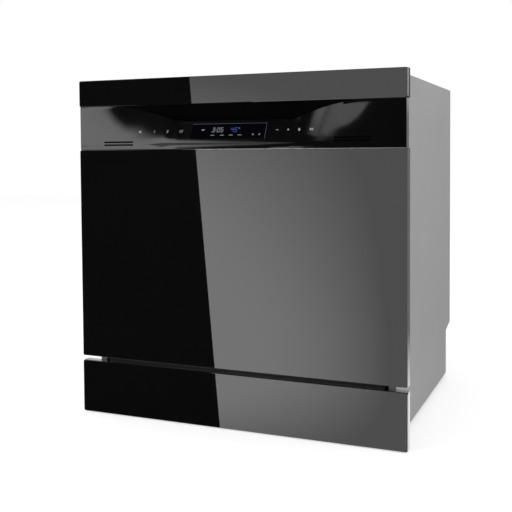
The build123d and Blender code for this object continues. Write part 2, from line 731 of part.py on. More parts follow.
def door_frame():
    """Metal pan behind the door glass, cut away at the bottom corners where the hinge plates enter."""
    pan = block(-HALF_FRONT, HALF_FRONT, at(GLASS), at(PANEL_DEPTH), DOOR_BOTTOM, FASCIA_BOTTOM)
    pan -= block(-HALF_FRONT + PANEL_RIM, HALF_FRONT - PANEL_RIM, at(GLASS) - CUT_PAST,
                 at(PANEL_DEPTH - PANEL_BACK_SHEET), DOOR_BOTTOM + PANEL_RIM, FASCIA_BOTTOM - PANEL_RIM)
    slot = block(HINGE_PLATE_X - HINGE_SIDE_GAP - HINGE_PLATE - 2 * SIDE_GAP,
                 HINGE_PLATE_X + HINGE_PLATE + 5 * SIDE_GAP,
                 at(GLASS) - CUT_PAST, at(PANEL_DEPTH) + CUT_PAST, DOOR_BOTTOM - CUT_PAST,
                 HINGE_HEIGHT + 2 * HINGE_EYE_RADIUS)
    for cut in mirrored(slot):
        pan -= cut
    return [pan]


def top_rail():
    """Metal rail behind the top strip, hollowed for the fascia's housing and for the latch."""
    rail = block(-HALF_FRONT, HALF_FRONT, at(GLASS), at(PANEL_DEPTH), STRIP_BOTTOM,
                 OVERALL_HEIGHT - TOP_RAIL_DROP)
    half = HOUSING_LENGTH / 2 + SIDE_GAP
    carrier = at(GLASS + STRIP_CARRIER)
    rail -= block(-half, half, carrier, at(PANEL_DEPTH) + CUT_PAST, STRIP_BOTTOM - CUT_PAST,
                  POCKET_TOP + POCKET_WALL)
    pocket = LATCH_POCKET / 2
    rail -= block(-pocket, pocket, carrier, at(PANEL_DEPTH) + CUT_PAST,
                  LEVER_PIVOT_HEIGHT - 2 * LEVER_HUB_RADIUS,
                  OVERALL_HEIGHT - PANEL_RIM)
    for side in (-1, 1):
        rail -= rod_x(min(side * pocket, side * (pocket + LEVER_PIN_DEPTH)),
                      max(side * pocket, side * (pocket + LEVER_PIN_DEPTH)),
                      at(LEVER_PIVOT_SETBACK), LEVER_PIVOT_HEIGHT, LEVER_PIN_RADIUS + RUNNING_GAP)
    return [rail]


def latch_lever():
    """Small lever on a cross pin that presses up against the strike's tongue."""
    reach = LATCH_POCKET / 2 + LEVER_PIN_DEPTH - SIDE_GAP
    y = at(LEVER_PIVOT_SETBACK)
    lever = rod_x(-reach, reach, y, LEVER_PIVOT_HEIGHT, LEVER_PIN_RADIUS)
    lever += rod_x(-LEVER_HUB_LENGTH / 2, LEVER_HUB_LENGTH / 2, y, LEVER_PIVOT_HEIGHT, LEVER_HUB_RADIUS)
    lever += block(-LEVER_WIDTH / 2, LEVER_WIDTH / 2, y - LEVER_THICKNESS / 2, y + LEVER_THICKNESS / 2,
                   LEVER_PIVOT_HEIGHT, STRIKE_TONGUE_BOTTOM - SIDE_GAP)
    return [lever]


def latch_strike():
    """Tongue on the tub's front flange that enters the latch."""
    half = STRIKE_WIDTH * 2 / 3
    z = STRIKE_TONGUE_BOTTOM
    rise = STRIKE_FOOT_HALF_HEIGHT
    tongue = block(-half, half, at(STRIKE_TIP_SETBACK), at(TUB_FRONT), z, z + STRIKE_THICKNESS)
    foot_plate = block(-2 * half, 2 * half, at(TUB_FRONT) - STRIKE_THICKNESS, at(TUB_FRONT), z - rise,
                       z + rise)
    return [tongue + foot_plate]


def scoop_plan():
    """Plan of the finger recess: full depth in the middle, running out to the front face in arcs."""
    end = SCOOP_LENGTH / 2
    flat = SCOOP_FLAT_LENGTH / 2
    back = at(POCKET_DEPTH)
    ahead = FRONT - CUT_PAST
    mid_x = (end + flat) / 2
    mid_y = FRONT + POCKET_DEPTH * SCOOP_ARC_SHARE
    edges = [
        Edge.make_line((-end, ahead), (-end, FRONT)),
        Edge.make_three_point_arc((-end, FRONT), (-mid_x, mid_y), (-flat, back)),
        Edge.make_line((-flat, back), (flat, back)),
        Edge.make_three_point_arc((flat, back), (mid_x, mid_y), (end, FRONT)),
        Edge.make_line((end, FRONT), (end, ahead)),
        Edge.make_line((end, ahead), (-end, ahead)),
    ]
    return Face(Wire(edges))


def scoop_cutter():
    """The empty space of the finger recess: a slope, a ridge and a pocket behind the top strip."""
    ahead = FRONT - CUT_PAST
    behind_strip = at(GLASS + STRIP_CARRIER)
    section = [
        (ahead, STRIP_BOTTOM), (ahead, SCOOP_BOTTOM), (FRONT, SCOOP_BOTTOM), (at(SLOPE_DEPTH), SLOPE_TOP),
        (at(RIDGE_DEPTH), RIDGE_HEIGHT), (at(POCKET_DEPTH), POCKET_FLOOR), (at(POCKET_DEPTH), POCKET_TOP),
        (behind_strip, POCKET_TOP), (behind_strip, STRIP_BOTTOM),
    ]
    long_cut = side_plate(section, -SCOOP_LENGTH / 2, SCOOP_LENGTH / 2)
    column = Pos(0, 0, SCOOP_BOTTOM - CUT_PAST) * extrude(scoop_plan(), amount=POCKET_TOP, dir=(0, 0, 1))
    return long_cut & column


def display_plane():
    """Plane on the fascia's slope, with its origin at the foot of the slope."""
    rise = SLOPE_TOP - SCOOP_BOTTOM
    return Plane(origin=(0, FRONT, SCOOP_BOTTOM), x_dir=(1, 0, 0), z_dir=(0, -rise, SLOPE_DEPTH))


def display_plate(low, high):
    """Slanted four-sided plate on the slope, between two distances from its surface."""
    half = DISPLAY_LENGTH / 2
    foot_y = DISPLAY_FOOT
    top_y = DISPLAY_FOOT + DISPLAY_RISE
    centre = DISPLAY_CENTRE
    points = [
        (centre - half, foot_y), (centre + half - DISPLAY_SLANT, foot_y),
        (centre + half, top_y), (centre - half + DISPLAY_SLANT, top_y),
    ]
    plane = display_plane()
    corners = [plane.from_local_coords(Vector(x, y, low)) for x, y in points]
    face = Face(Wire.make_polygon(corners, close=True))
    return extrude(face, amount=high - low, dir=plane.z_dir)


def control_fascia():
    """Glossy moulding with the finger recess, the vents and a seat for the display."""
    half = HALF_FRONT - FASCIA_INSET
    face_block = block(-half, half, FRONT, at(PANEL_DEPTH), FASCIA_BOTTOM, STRIP_BOTTOM)
    lower_edge = face_block.edges().filter_by(Axis.X).group_by(Axis.Z)[0].sort_by(Axis.Y)[0]
    face_block = fillet(lower_edge, FASCIA_EDGE_RADIUS)
    long_half = HOUSING_LENGTH / 2
    back = at(POCKET_DEPTH + POCKET_WALL)
    housing = block(-long_half, long_half, at(PANEL_DEPTH), back, SCOOP_BOTTOM - POCKET_WALL,
                    POCKET_TOP + POCKET_WALL)
    crown = block(-long_half, long_half, at(GLASS + STRIP_CARRIER), at(PANEL_DEPTH), STRIP_BOTTOM,
                  POCKET_TOP + POCKET_WALL)
    body = face_block + housing + crown - scoop_cutter()
    hollow_half = long_half - HOUSING_WALL
    skin = POCKET_WALL
    foot = SCOOP_BOTTOM - skin / 3
    hollow = side_plate([
        (at(skin), foot), (at(SLOPE_DEPTH + skin), SLOPE_TOP - skin / 2), (at(RIDGE_DEPTH + skin),
                                                                           RIDGE_HEIGHT - skin),
        (back + CUT_PAST, RIDGE_HEIGHT - skin), (back + CUT_PAST, foot),
    ], -hollow_half, hollow_half)
    body -= hollow
    left = LEFT_VENT_INSET - HALF_FRONT
    right = HALF_FRONT - RIGHT_VENT_INSET
    vents = (
        (left, left + LEFT_VENT_LENGTH, SCOOP_BOTTOM + LEFT_VENT_RISE),
        (right - RIGHT_VENT_LENGTH, right, SCOOP_BOTTOM + RIGHT_VENT_RISE),
    )
    for x0, x1, z in vents:
        for step in (-0.5, 0.5):
            zc = z + step * VENT_PITCH
            body -= block(x0, x1, FRONT - CUT_PAST, at(VENT_DEPTH), zc - VENT_SLOT / 2, zc + VENT_SLOT / 2)
    body -= display_plate(DISPLAY_PROUD - DISPLAY_THICKNESS, DISPLAY_PROUD + CUT_PAST)
    return [body]


def display_window():
    """Clear window over the display, a hair proud of the slope."""
    return [display_plate(DISPLAY_PROUD - DISPLAY_THICKNESS, DISPLAY_PROUD)]


def control_board():
    """Circuit board on four spacers behind the finger pocket, with its larger parts."""
    back = at(POCKET_DEPTH + POCKET_WALL)
    front = back + SPACER
    rear = front + BOARD_THICKNESS
    half = BOARD_LENGTH / 2
    foot = POCKET_TOP - BOARD_HEIGHT
    board = block(-half, half, front, rear, foot, POCKET_TOP)
    for x in (SPACER_INSET - half, half - SPACER_INSET):
        for z in (POCKET_FLOOR + SPACER_RADIUS, POCKET_TOP - 2 * SPACER_RADIUS):
            board += rod_y(x, back, front, z, SPACER_RADIUS)
    for x0, x1, z0, z1, height in (TRANSFORMER, PROCESSOR, RELAY, PLUG_SOCKET):
        board += block(x0, x1, rear, rear + height, foot + z0, foot + z1)
    return [board]


def door_liner():
    """Stainless inner door: a tray with rounded corners, pierced for the dispenser."""
    inner = at(DOOR_DEPTH)
    front = at(PANEL_DEPTH)
    shell = block(-HALF_LINER, HALF_LINER, front, inner, LINER_BOTTOM, LINER_TOP)
    shell = fillet(shell.edges().filter_by(Axis.Y), LINER_CORNER)
    hollow = block(-HALF_LINER + SHEET, HALF_LINER - SHEET, front - CUT_PAST, inner - SHEET,
                   LINER_BOTTOM + SHEET,
                   LINER_TOP - SHEET)
    hollow = fillet(hollow.edges().filter_by(Axis.Y), LINER_CORNER - SHEET)
    shell -= hollow
    shell -= block(DISPENSER_LEFT, DISPENSER_RIGHT, inner - SHEET - CUT_PAST, inner + CUT_PAST,
                   DISPENSER_BOTTOM, DISPENSER_TOP)
    return [shell]


def dispenser_body():
    """Detergent dispenser: cup, slide rails for its lid and the filler of the rinse aid."""
    face = at(DOOR_DEPTH)
    reach = DISPENSER_FLANGE_REACH
    proud = face + DISPENSER_FLANGE
    body = block(DISPENSER_LEFT, DISPENSER_RIGHT, face - DISPENSER_DEPTH, face, DISPENSER_BOTTOM,
                 DISPENSER_TOP)
    body += block(DISPENSER_LEFT - reach, DISPENSER_RIGHT + reach, face, proud, DISPENSER_BOTTOM - reach,
                  DISPENSER_TOP + reach)
    body -= block(CUP_LEFT, CUP_RIGHT, proud - CUP_DEPTH, proud + CUT_PAST, CUP_BOTTOM, CUP_TOP)
    body -= rod_y(RINSE_X, face - RINSE_WELL_DEPTH, proud + CUT_PAST, RINSE_Z,
                  RINSE_PLUG_RADIUS + RUNNING_GAP)
    lid_low = CUP_BOTTOM - LID_OVERLAP - SIDE_GAP
    lid_high = CUP_TOP + LID_OVERLAP + SIDE_GAP
    x0 = CUP_LEFT - LID_OVERLAP - LID_RAIL_LIP
    x1 = DISPENSER_RIGHT + LID_RAIL_LIP
    under_lip = proud + LID_THICKNESS + 2 * SIDE_GAP
    for low, high, inward in ((lid_low - LID_RAIL, lid_low, LID_RAIL_LIP),
                              (lid_high, lid_high + LID_RAIL, -LID_RAIL_LIP)):
        body += block(x0, x1, proud, under_lip, low, high)
        lip_low = min(low, low + inward)
        lip_high = max(high, high + inward)
        body += block(x0, x1, under_lip, under_lip + DISPENSER_FLANGE, lip_low, lip_high)
    return [body]


def dispenser_lid():
    """Lid that slides sideways off the detergent cup, with a finger rib."""
    low = at(DOOR_DEPTH) + DISPENSER_FLANGE + SIDE_GAP
    top = low + LID_THICKNESS
    lid = block(CUP_LEFT - LID_OVERLAP, CUP_RIGHT + LID_OVERLAP, low, top, CUP_BOTTOM - LID_OVERLAP,
                CUP_TOP + LID_OVERLAP)
    middle = (CUP_BOTTOM + CUP_TOP) / 2
    half = LID_RIB_HALF_LENGTH
    lid += block(CUP_LEFT, CUP_LEFT + LID_RIB, top, top + LID_RIB_HEIGHT, middle - half, middle + half)
    return [lid]


def rinse_cap():
    """Round cap with a plug and a grip bar."""
    face = at(DOOR_DEPTH) + DISPENSER_FLANGE + SIDE_GAP
    top = face + RINSE_CAP_THICKNESS
    grip = RINSE_CAP_RADIUS * 3 / 4
    half = RINSE_CAP_THICKNESS * 3 / 4
    cap = rod_y(RINSE_X, face - RINSE_PLUG_DEPTH, face, RINSE_Z, RINSE_PLUG_RADIUS)
    cap += rod_y(RINSE_X, face, top, RINSE_Z, RINSE_CAP_RADIUS)
    cap += block(RINSE_X - grip, RINSE_X + grip, top, top + RINSE_CAP_THICKNESS, RINSE_Z - half,
                 RINSE_Z + half)
    return [cap]


# Hinges

def hinge_brackets():
    """Fixed hinge plates on the base tray, with an eye for the door's pin and a pin for the spring."""
    x0 = HINGE_PLATE_X
    x1 = HINGE_PLATE_X + HINGE_PLATE
    eye = HINGE_EYE_RADIUS
    z = HINGE_HEIGHT
    tail = at(SPRING_ANCHOR_SETBACK)
    anchor_z = SPRING_ANCHOR_HEIGHT
    tail_end = tail + 3 * SPRING_PIN_RADIUS
    low = anchor_z - SPRING_TAIL_HALF_HEIGHT
    high = anchor_z + SPRING_TAIL_HALF_HEIGHT
    plate = side_plate([
        (HINGE_Y, z - eye), (at(HINGE_NECK_SETBACK), z - eye), (at(HINGE_NECK_SETBACK), TRAY_TOP),
        (at(HINGE_PLATE_LENGTH), TRAY_TOP), (at(HINGE_PLATE_LENGTH), low), (tail_end, low), (tail_end,
                                                                                             high),
        (at(HINGE_KNEE_SETBACK), z - eye), (at(HINGE_HORN_SETBACK), z + eye), (HINGE_Y, z + eye),
    ], x0, x1)
    plate += rod_x(x0, x1, HINGE_Y, z, eye)
    plate -= rod_x(x0 - CUT_PAST, x1 + CUT_PAST, HINGE_Y, z, HINGE_PIN_RADIUS + RUNNING_GAP)
    plate += rod_x(SPRING_X - SPRING_RADIUS, x0, tail, anchor_z, SPRING_PIN_RADIUS)
    return mirrored(plate)


def hinge_arms():
    """Arms screwed to the door frame, each with the hinge pin outside and the spring's hook pin inside."""
    x1 = HINGE_PLATE_X - HINGE_SIDE_GAP
    x0 = x1 - HINGE_PLATE
    z = HINGE_HEIGHT
    eye = HINGE_EYE_RADIUS
    back = at(PANEL_DEPTH)
    hook = HINGE_Y + HOOK_REACH
    arm = rod_x(x0, x1, HINGE_Y, z, eye)
    arm += block(x0, x1, HINGE_Y, hook, z - eye, z + eye)
    arm += rod_x(x0, x1, hook, z, eye)
    top = z + ARM_SCREW_HEIGHT
    arm += block(x0, x1, back, back + ARM_FLANGE, z, top)
    arm += block(x0, x1 + ARM_FLANGE, back, back + ARM_FLANGE_THICKNESS, z + 3 * eye, top)
    arm += rod_x(x1, HINGE_PLATE_X + HINGE_PLATE + CUT_PAST, HINGE_Y, z, HINGE_PIN_RADIUS)
    arm += rod_x(SPRING_X - SPRING_RADIUS, x0, hook, z, SPRING_PIN_RADIUS)
    return mirrored(arm)


def balance_springs():
    """Envelope of the two coil springs that balance the door, from hook pin to anchor pin."""
    y0 = HINGE_Y + HOOK_REACH
    z0 = HINGE_HEIGHT
    y1 = at(SPRING_ANCHOR_SETBACK)
    z1 = SPRING_ANCHOR_HEIGHT
    length = math.hypot(y1 - y0, z1 - z0)
    margin = SPRING_PIN_RADIUS + SIDE_GAP
    direction = Vector(0, (y1 - y0) / length, (z1 - z0) / length)
    start = Vector(SPRING_X, y0, z0) + direction * margin
    plane = Plane(origin=start, x_dir=(1, 0, 0), z_dir=direction)
    tube = Circle(SPRING_RADIUS) - Circle(SPRING_RADIUS - SPRING_WALL)
    return mirrored(extrude(plane * tube, amount=length - 2 * margin, dir=direction))


# Tub

def tub_box(grow, y0, y1):
    """Box with four rounded long edges, the tub's inside made larger by grow on each side."""
    box = block(-HALF_TUB - grow, HALF_TUB + grow, y0, y1, TUB_FLOOR - grow, TUB_CEILING + grow)
    return fillet(box.edges().filter_by(Axis.Y), TUB_CORNER + grow)


def tub():
    """Stainless tub with a front flange, a round basin in its floor and holes for what passes through."""
    front = at(TUB_FRONT)
    back = at(TUB_BACK)
    shell = tub_box(SHEET, front, back + SHEET)
    flange_half = HALF_BODY - SHEET
    shell += block(-flange_half, flange_half, front, front + SHEET, TUB_FLOOR - SHEET, BODY_TOP - SHEET)
    shell -= tub_box(0, front - CUT_PAST, back)
    shell += rod_z(0, SPRAY_Y, BASIN_BOTTOM - SHEET, TUB_FLOOR, BASIN_RADIUS + SHEET)
    shell -= rod_z(0, SPRAY_Y, BASIN_BOTTOM, TUB_FLOOR + CUT_PAST, BASIN_RADIUS)
    through = BASIN_BOTTOM - SHEET - CUT_PAST
    under = TUB_FLOOR - SHEET - CUT_PAST
    over = TUB_FLOOR + CUT_PAST
    shell -= rod_z(0, SPRAY_Y, through, TUB_FLOOR, HUB_RADIUS + RUNNING_GAP)
    shell -= rod_z(FILTER_X, SPRAY_Y, through, TUB_FLOOR, SUMP_RADIUS - SUMP_WALL)
    for x, y in heater_legs():
        shell -= rod_z(x, y, through, TUB_FLOOR, HEATER_TUBE + RUNNING_GAP)
    shell -= rod_z(0, at(TUB_BACK) - DUCT_DEPTH / 2, under, over, FEED_PIPE_RADIUS + RUNNING_GAP)
    shell -= rod_z(SALT_X, at(SALT_SETBACK), under, over, SALT_NECK_RADIUS + SHAFT_GAP)
    return [shell]


def door_gasket():
    """Rubber seal on three sides of the tub's mouth, seated on the flange."""
    y0 = at(DOOR_DEPTH) + GASKET_GAP
    y1 = at(TUB_FRONT)
    inner = HALF_TUB + GASKET_CLEARANCE
    low = TUB_CEILING + GASKET_CLEARANCE
    outer_box = block(-inner - GASKET_WIDTH, inner + GASKET_WIDTH, y0, y1, TUB_FLOOR + GASKET_FOOT_RISE,
                      low + GASKET_WIDTH)
    outer_box = fillet(outer_box.edges().filter_by(Axis.Y).group_by(Axis.Z)[-1], TUB_CORNER + GASKET_WIDTH)
    inner_box = block(-inner, inner, y0 - CUT_PAST, y1 + CUT_PAST, TUB_FLOOR, low)
    inner_box = fillet(inner_box.edges().filter_by(Axis.Y).group_by(Axis.Z)[-1], TUB_CORNER)
    return [outer_box - inner_box]


def insulation_felt():
    """Felt mats on both sides and the top of the tub."""
    y0 = at(TUB_FRONT) + FELT_FRONT_GAP
    y1 = at(TUB_BACK) - FELT_BACK_GAP
    skin = HALF_TUB + SHEET
    low = TUB_FLOOR + TUB_CORNER
    high = TUB_CEILING - TUB_CORNER
    mats = mirrored(block(skin, skin + FELT, y0, y1, low, high))
    top = TUB_CEILING + SHEET
    mats.append(block(-HALF_TUB + TUB_CORNER, HALF_TUB - TUB_CORNER, y0, y1, top, top + FELT))
    return mats


# Water parts

def heater_legs():
    """Centres of the heater's two terminals, on its ring."""
    spread = math.radians(HEATER_SPREAD_ANGLE)
    return [(HEATER_RADIUS * math.sin(side * spread),
             SPRAY_Y + HEATER_RADIUS * math.cos(spread)) for side in (-1, 1)]


def heater():
    """Open ring heater in the basin, bent down at both ends to pass through its floor."""
    height = BASIN_BOTTOM + HEATER_HEIGHT
    section = Plane.XZ * Pos(HEATER_RADIUS, 0) * Circle(HEATER_TUBE)
    ring = revolve(section, Axis.Z, revolution_arc=360 - 2 * HEATER_SPREAD_ANGLE)
    ring = Pos(0, SPRAY_Y, height) * Rot(0, 0, 90 + HEATER_SPREAD_ANGLE) * ring
    for x, y in heater_legs():
        ring += Pos(x, y, height) * Sphere(HEATER_TUBE)
        ring += rod_z(x, y, BASIN_BOTTOM - HEATER_TAIL, height, HEATER_TUBE)
    return [ring]


def filter_plate():
    """Fine filter plate over the basin, pierced in rings, with holes for the hub and the filter."""
    below = TUB_FLOOR - CUT_PAST
    top = TUB_FLOOR + FILTER_PLATE
    plate = rod_z(0, SPRAY_Y, TUB_FLOOR, top, BASIN_RADIUS + FILTER_PLATE_OVERLAP)
    plate -= rod_z(0, SPRAY_Y, below, top + CUT_PAST, HUB_RADIUS + 3 * SIDE_GAP)
    plate -= rod_z(FILTER_X, SPRAY_Y, below, top + CUT_PAST, FILTER_RADIUS + SIDE_GAP)
    hole = Circle(FILTER_HOLE_RADIUS)
    places = []
    for ring_radius, count in FILTER_HOLE_RINGS:
        for i in range(count):
            angle = 2 * math.pi * i / count
            places.append(Pos(ring_radius * math.cos(angle), ring_radius * math.sin(angle)))
    holes = extrude(Sketch() + [place * hole for place in places], amount=FILTER_PLATE + 2 * CUT_PAST,
                    dir=(0, 0, 1))
    plate -= Pos(0, SPRAY_Y, below) * holes
    return [plate]


def filter_cylinder():
    """Coarse filter: a hollow cylinder with a rim, a grip bar and windows."""
    top = TUB_FLOOR + FILTER_PLATE + SIDE_GAP
    bottom = top - FILTER_DEPTH
    wall = FILTER_WALL
    grip = FILTER_GRIP
    y = SPRAY_Y
    body = rod_z(FILTER_X, y, bottom, top + wall, FILTER_RADIUS)
    body += rod_z(FILTER_X, y, top, top + wall, FILTER_RIM)
    body -= rod_z(FILTER_X, y, bottom + wall, top + wall + CUT_PAST, FILTER_RADIUS - wall)
    body += block(FILTER_X - wall, FILTER_X + wall, y - FILTER_RADIUS + wall / 2,
                  y + FILTER_RADIUS - wall / 2,
                  top - grip, top + grip)
    for i in range(6):
        turn = Pos(FILTER_X, y, 0) * Rot(0, 0, 60 * i + 30)
        body -= turn * block(FILTER_RADIUS - 2 * wall, FILTER_RADIUS + CUT_PAST, -4 * wall, 4 * wall,
                             bottom + 3 * wall,
                             top - 2 * grip)
    return [body]


def sump():
    """Well under the basin, with the suction pipe of the circulation pump and the seat of the drain pump."""
    top = BASIN_BOTTOM - SHEET
    seat_end = FILTER_X + SUMP_RADIUS + DRAIN_SEAT_REACH
    x = FILTER_X
    y = SPRAY_Y
    z = PUMP_AXIS_HEIGHT
    well = rod_z(x, y, SUMP_BOTTOM, top, SUMP_RADIUS)
    well += rod_z(x, y, top - SUMP_FLANGE, top, SUMP_RADIUS + SUMP_FLANGE)
    well += rod_x(PUMP_INLET_X, x, y, z, SUCTION_RADIUS)
    well += rod_x(x, seat_end, y, z, DRAIN_SEAT_RADIUS)
    well -= rod_z(x, y, SUMP_BOTTOM + SUMP_WALL, top + CUT_PAST, SUMP_RADIUS - SUMP_WALL)
    well -= rod_x(PUMP_INLET_X - CUT_PAST, x, y, z, SUCTION_BORE)
    well -= rod_x(x, seat_end + CUT_PAST, y, z, DRAIN_SEAT_BORE)
    return [well]


def circulation_pump_body():
    """Pump casing and motor on one axis along X, on a saddle that stands on the tray."""
    y = SPRAY_Y
    z = PUMP_AXIS_HEIGHT
    wall = VOLUTE_WALL
    half = SADDLE_HALF_WIDTH
    body = rod_x(VOLUTE_END, PUMP_INLET_X, y, z, VOLUTE_RADIUS)
    body += rod_x(MOTOR_END, VOLUTE_END, y, z, MOTOR_RADIUS)
    for middle in (MOTOR_END + SADDLE_LENGTH, VOLUTE_END - SADDLE_LENGTH):
        body += block(middle - SADDLE_LENGTH / 2, middle + SADDLE_LENGTH / 2, y - half, y + half, TRAY_TOP,
                      z - SADDLE_LENGTH / 2)
    outlet_x = VOLUTE_END + VOLUTE_WIDTH / 2
    body += rod_z(outlet_x, y, z, PUMP_OUTLET_TOP, FEED_PIPE_RADIUS + wall)
    body -= rod_x(VOLUTE_END + wall, PUMP_INLET_X - wall, y, z, IMPELLER_RADIUS + IMPELLER_GAP)
    body -= rod_x(PUMP_INLET_X - wall - CUT_PAST, PUMP_INLET_X + CUT_PAST, y, z, SUCTION_BORE)
    body -= rod_x(MOTOR_END + wall, VOLUTE_END + wall + CUT_PAST, y, z, ROTOR_SHAFT_RADIUS + RUNNING_GAP)
    body -= rod_z(outlet_x, y, z + IMPELLER_RADIUS / 2, PUMP_OUTLET_TOP + CUT_PAST,
                  FEED_PIPE_RADIUS + SHAFT_GAP)
    return [body]


def circulation_impeller():
    """Bladed wheel on the rotor shaft."""
    y = SPRAY_Y
    z = PUMP_AXIS_HEIGHT
    disc_start = VOLUTE_END + VOLUTE_WALL + IMPELLER_GAP
    disc_end = disc_start + IMPELLER_DISC
    half = IMPELLER_DISC / 2
    wheel = rod_x(disc_start, disc_end, y, z, IMPELLER_RADIUS)
    wheel += rod_x(MOTOR_END + 2 * VOLUTE_WALL, disc_end + IMPELLER_BLADE, y, z, ROTOR_SHAFT_RADIUS)
    for i in range(6):
        blade = block(disc_end, disc_end + IMPELLER_BLADE, -half, half, 2 * ROTOR_SHAFT_RADIUS,
                      IMPELLER_RADIUS - half)
        wheel += Pos(0, y, z) * Rot(60 * i, 0, 0) * blade
    return [wheel]


def drain_pump():
    """Drain pump on the sump's flange, with its outlet towards the rear."""
    x0 = FILTER_X + SUMP_RADIUS + DRAIN_SEAT_REACH
    x1 = x0 + DRAIN_PUMP_LENGTH
    y = SPRAY_Y
    z = PUMP_AXIS_HEIGHT
    pump = rod_x(x0, x1, y, z, DRAIN_PUMP_RADIUS)
    pump += rod_x(x1, x1 + DRAIN_MOTOR_LENGTH, y, z, DRAIN_MOTOR_RADIUS)
    pump += rod_y(DRAIN_X, y, y + DRAIN_PUMP_REACH, SPIGOT_HEIGHT, DRAIN_SPIGOT_RADIUS)
    return [pump]


def hoses():
    """Drain hose to the rear spigot and fill hose from the inlet valve to the air break chamber."""
    y0 = SPRAY_Y + DRAIN_PUMP_REACH
    back = LOWER_BACK_Y
    inside = back - SHEET
    collar_end = back + SPIGOT_COLLAR_LENGTH
    tip = collar_end + DRAIN_LENGTH
    z = SPIGOT_HEIGHT
    drain = rod_y(DRAIN_X, y0, tip, z, DRAIN_SPIGOT_RADIUS)
    drain += rod_y(DRAIN_X, inside, collar_end, z, DRAIN_SPIGOT_RADIUS + SPIGOT_COLLAR)
    drain += rod_y(DRAIN_X, inside - DRAIN_FLANGE_THICKNESS, inside, z, DRAIN_SPIGOT_RADIUS + DRAIN_FLANGE)
    drain -= rod_y(DRAIN_X, y0 - CUT_PAST, tip + CUT_PAST, z, DRAIN_SPIGOT_RADIUS - HOSE_WALL)
    fill_x = CHAMBER_X + CHAMBER_WIDTH / 2
    valve_y = inside - VALVE_DEPTH / 2
    radius = FILL_HOSE_RADIUS
    low = VALVE_TOP - 2 * radius
    fill = rod_x(fill_x, INLET_X - VALVE_WIDTH / 2, valve_y, low, radius)
    fill += rod_z(fill_x, valve_y, low, FILL_HEIGHT, radius)
    fill += Pos(fill_x, valve_y, low) * Sphere(radius)
    fill += rod_y(fill_x, at(CHAMBER_BACK), valve_y, FILL_HEIGHT, radius)
    fill += Pos(fill_x, valve_y, FILL_HEIGHT) * Sphere(radius)
    return [drain, fill]


def air_break_chamber():
    """Flat water chamber on the left side panel, with moulded channels."""
    x1 = CHAMBER_X + CHAMBER_WIDTH
    tank = block(CHAMBER_X, x1, at(CHAMBER_FRONT), at(CHAMBER_BACK), CHAMBER_BOTTOM, CHAMBER_TOP)
    channels = spaced(CHAMBER_BOTTOM + CHANNEL_PITCH, CHAMBER_TOP - CHANNEL_PITCH, CHANNEL_PITCH)
    for i, z in enumerate(channels):
        start = at(CHAMBER_FRONT) + CHAMBER_WIDTH * (1 + 2 * (i % 2))
        tank -= block(x1 - CHANNEL_DEPTH, x1 + CUT_PAST, start, start + CHANNEL_LENGTH, z,
                      z + CHANNEL_HEIGHT)
    return [tank]


def inlet_valve():
    """Inlet valve behind the lower back panel, its threaded end passing out through the panel."""
    inside = LOWER_BACK_Y - SHEET
    collar_end = LOWER_BACK_Y + SPIGOT_COLLAR_LENGTH
    tip = collar_end + INLET_LENGTH
    half = VALVE_WIDTH / 2
    leg = half - VALVE_LEG_INSET
    front = inside - VALVE_DEPTH
    z = SPIGOT_HEIGHT
    valve = block(INLET_X - half, INLET_X + half, front, inside, z - VALVE_BOTTOM_DROP, VALVE_TOP)
    valve += block(INLET_X - leg, INLET_X + leg, front + VALVE_LEG_INSET, inside - VALVE_LEG_INSET,
                   TRAY_TOP, z)
    valve += rod_y(INLET_X, inside, collar_end, z, INLET_THREAD_RADIUS + SPIGOT_COLLAR)
    valve += rod_y(INLET_X, collar_end, tip, z, INLET_THREAD_RADIUS)
    valve -= rod_y(INLET_X, inside - VALVE_LEG_INSET, tip + CUT_PAST, z, INLET_BORE)
    return [valve]


def terminal_box():
    """Closed box for the supply connection on the lower back, with its lid line and an empty gland."""
    x = TERMINAL_X
    y = LOWER_BACK_Y + TERMINAL_DEPTH / 2
    half = TERMINAL_HALF_WIDTH
    rim = TERMINAL_CORNER
    rear = LOWER_BACK_Y + TERMINAL_DEPTH
    low = TERMINAL_BOTTOM
    high = low + TERMINAL_HEIGHT
    box = block(x - half, x + half, LOWER_BACK_Y, rear, low, high)
    box = fillet(box.edges().filter_by(Axis.Y), TERMINAL_CORNER)
    box += block(x - half + rim, x + half - rim, rear, rear + TERMINAL_LID, low + rim, high - rim)
    box += rod_z(x, y, low - GLAND_LENGTH, low, GLAND_RADIUS)
    box -= rod_z(x, y, low - GLAND_LENGTH - CUT_PAST, low + GLAND_DEPTH, GLAND_BORE)
    return [box]


def softener_tank():
    """Softener with its salt neck, which passes up through the tub's floor."""
    y = at(SALT_SETBACK)
    top = TUB_FLOOR - SHEET - SOFTENER_DROP
    rim = TUB_FLOOR + SALT_NECK_RISE
    half_x = SOFTENER_WIDTH / 2
    half_y = SOFTENER_LENGTH / 2
    tank = block(SALT_X - half_x, SALT_X + half_x, y - half_y, y + half_y, TRAY_TOP, top)
    tank = fillet(tank.edges().filter_by(Axis.Z), SOFTENER_CORNER)
    tank += rod_z(SALT_X, y, top, rim, SALT_NECK_RADIUS)
    tank -= rod_z(SALT_X, y, TRAY_TOP + SALT_WELL_FLOOR, rim + CUT_PAST, SALT_NECK_RADIUS - SALT_NECK_WALL)
    return [tank]


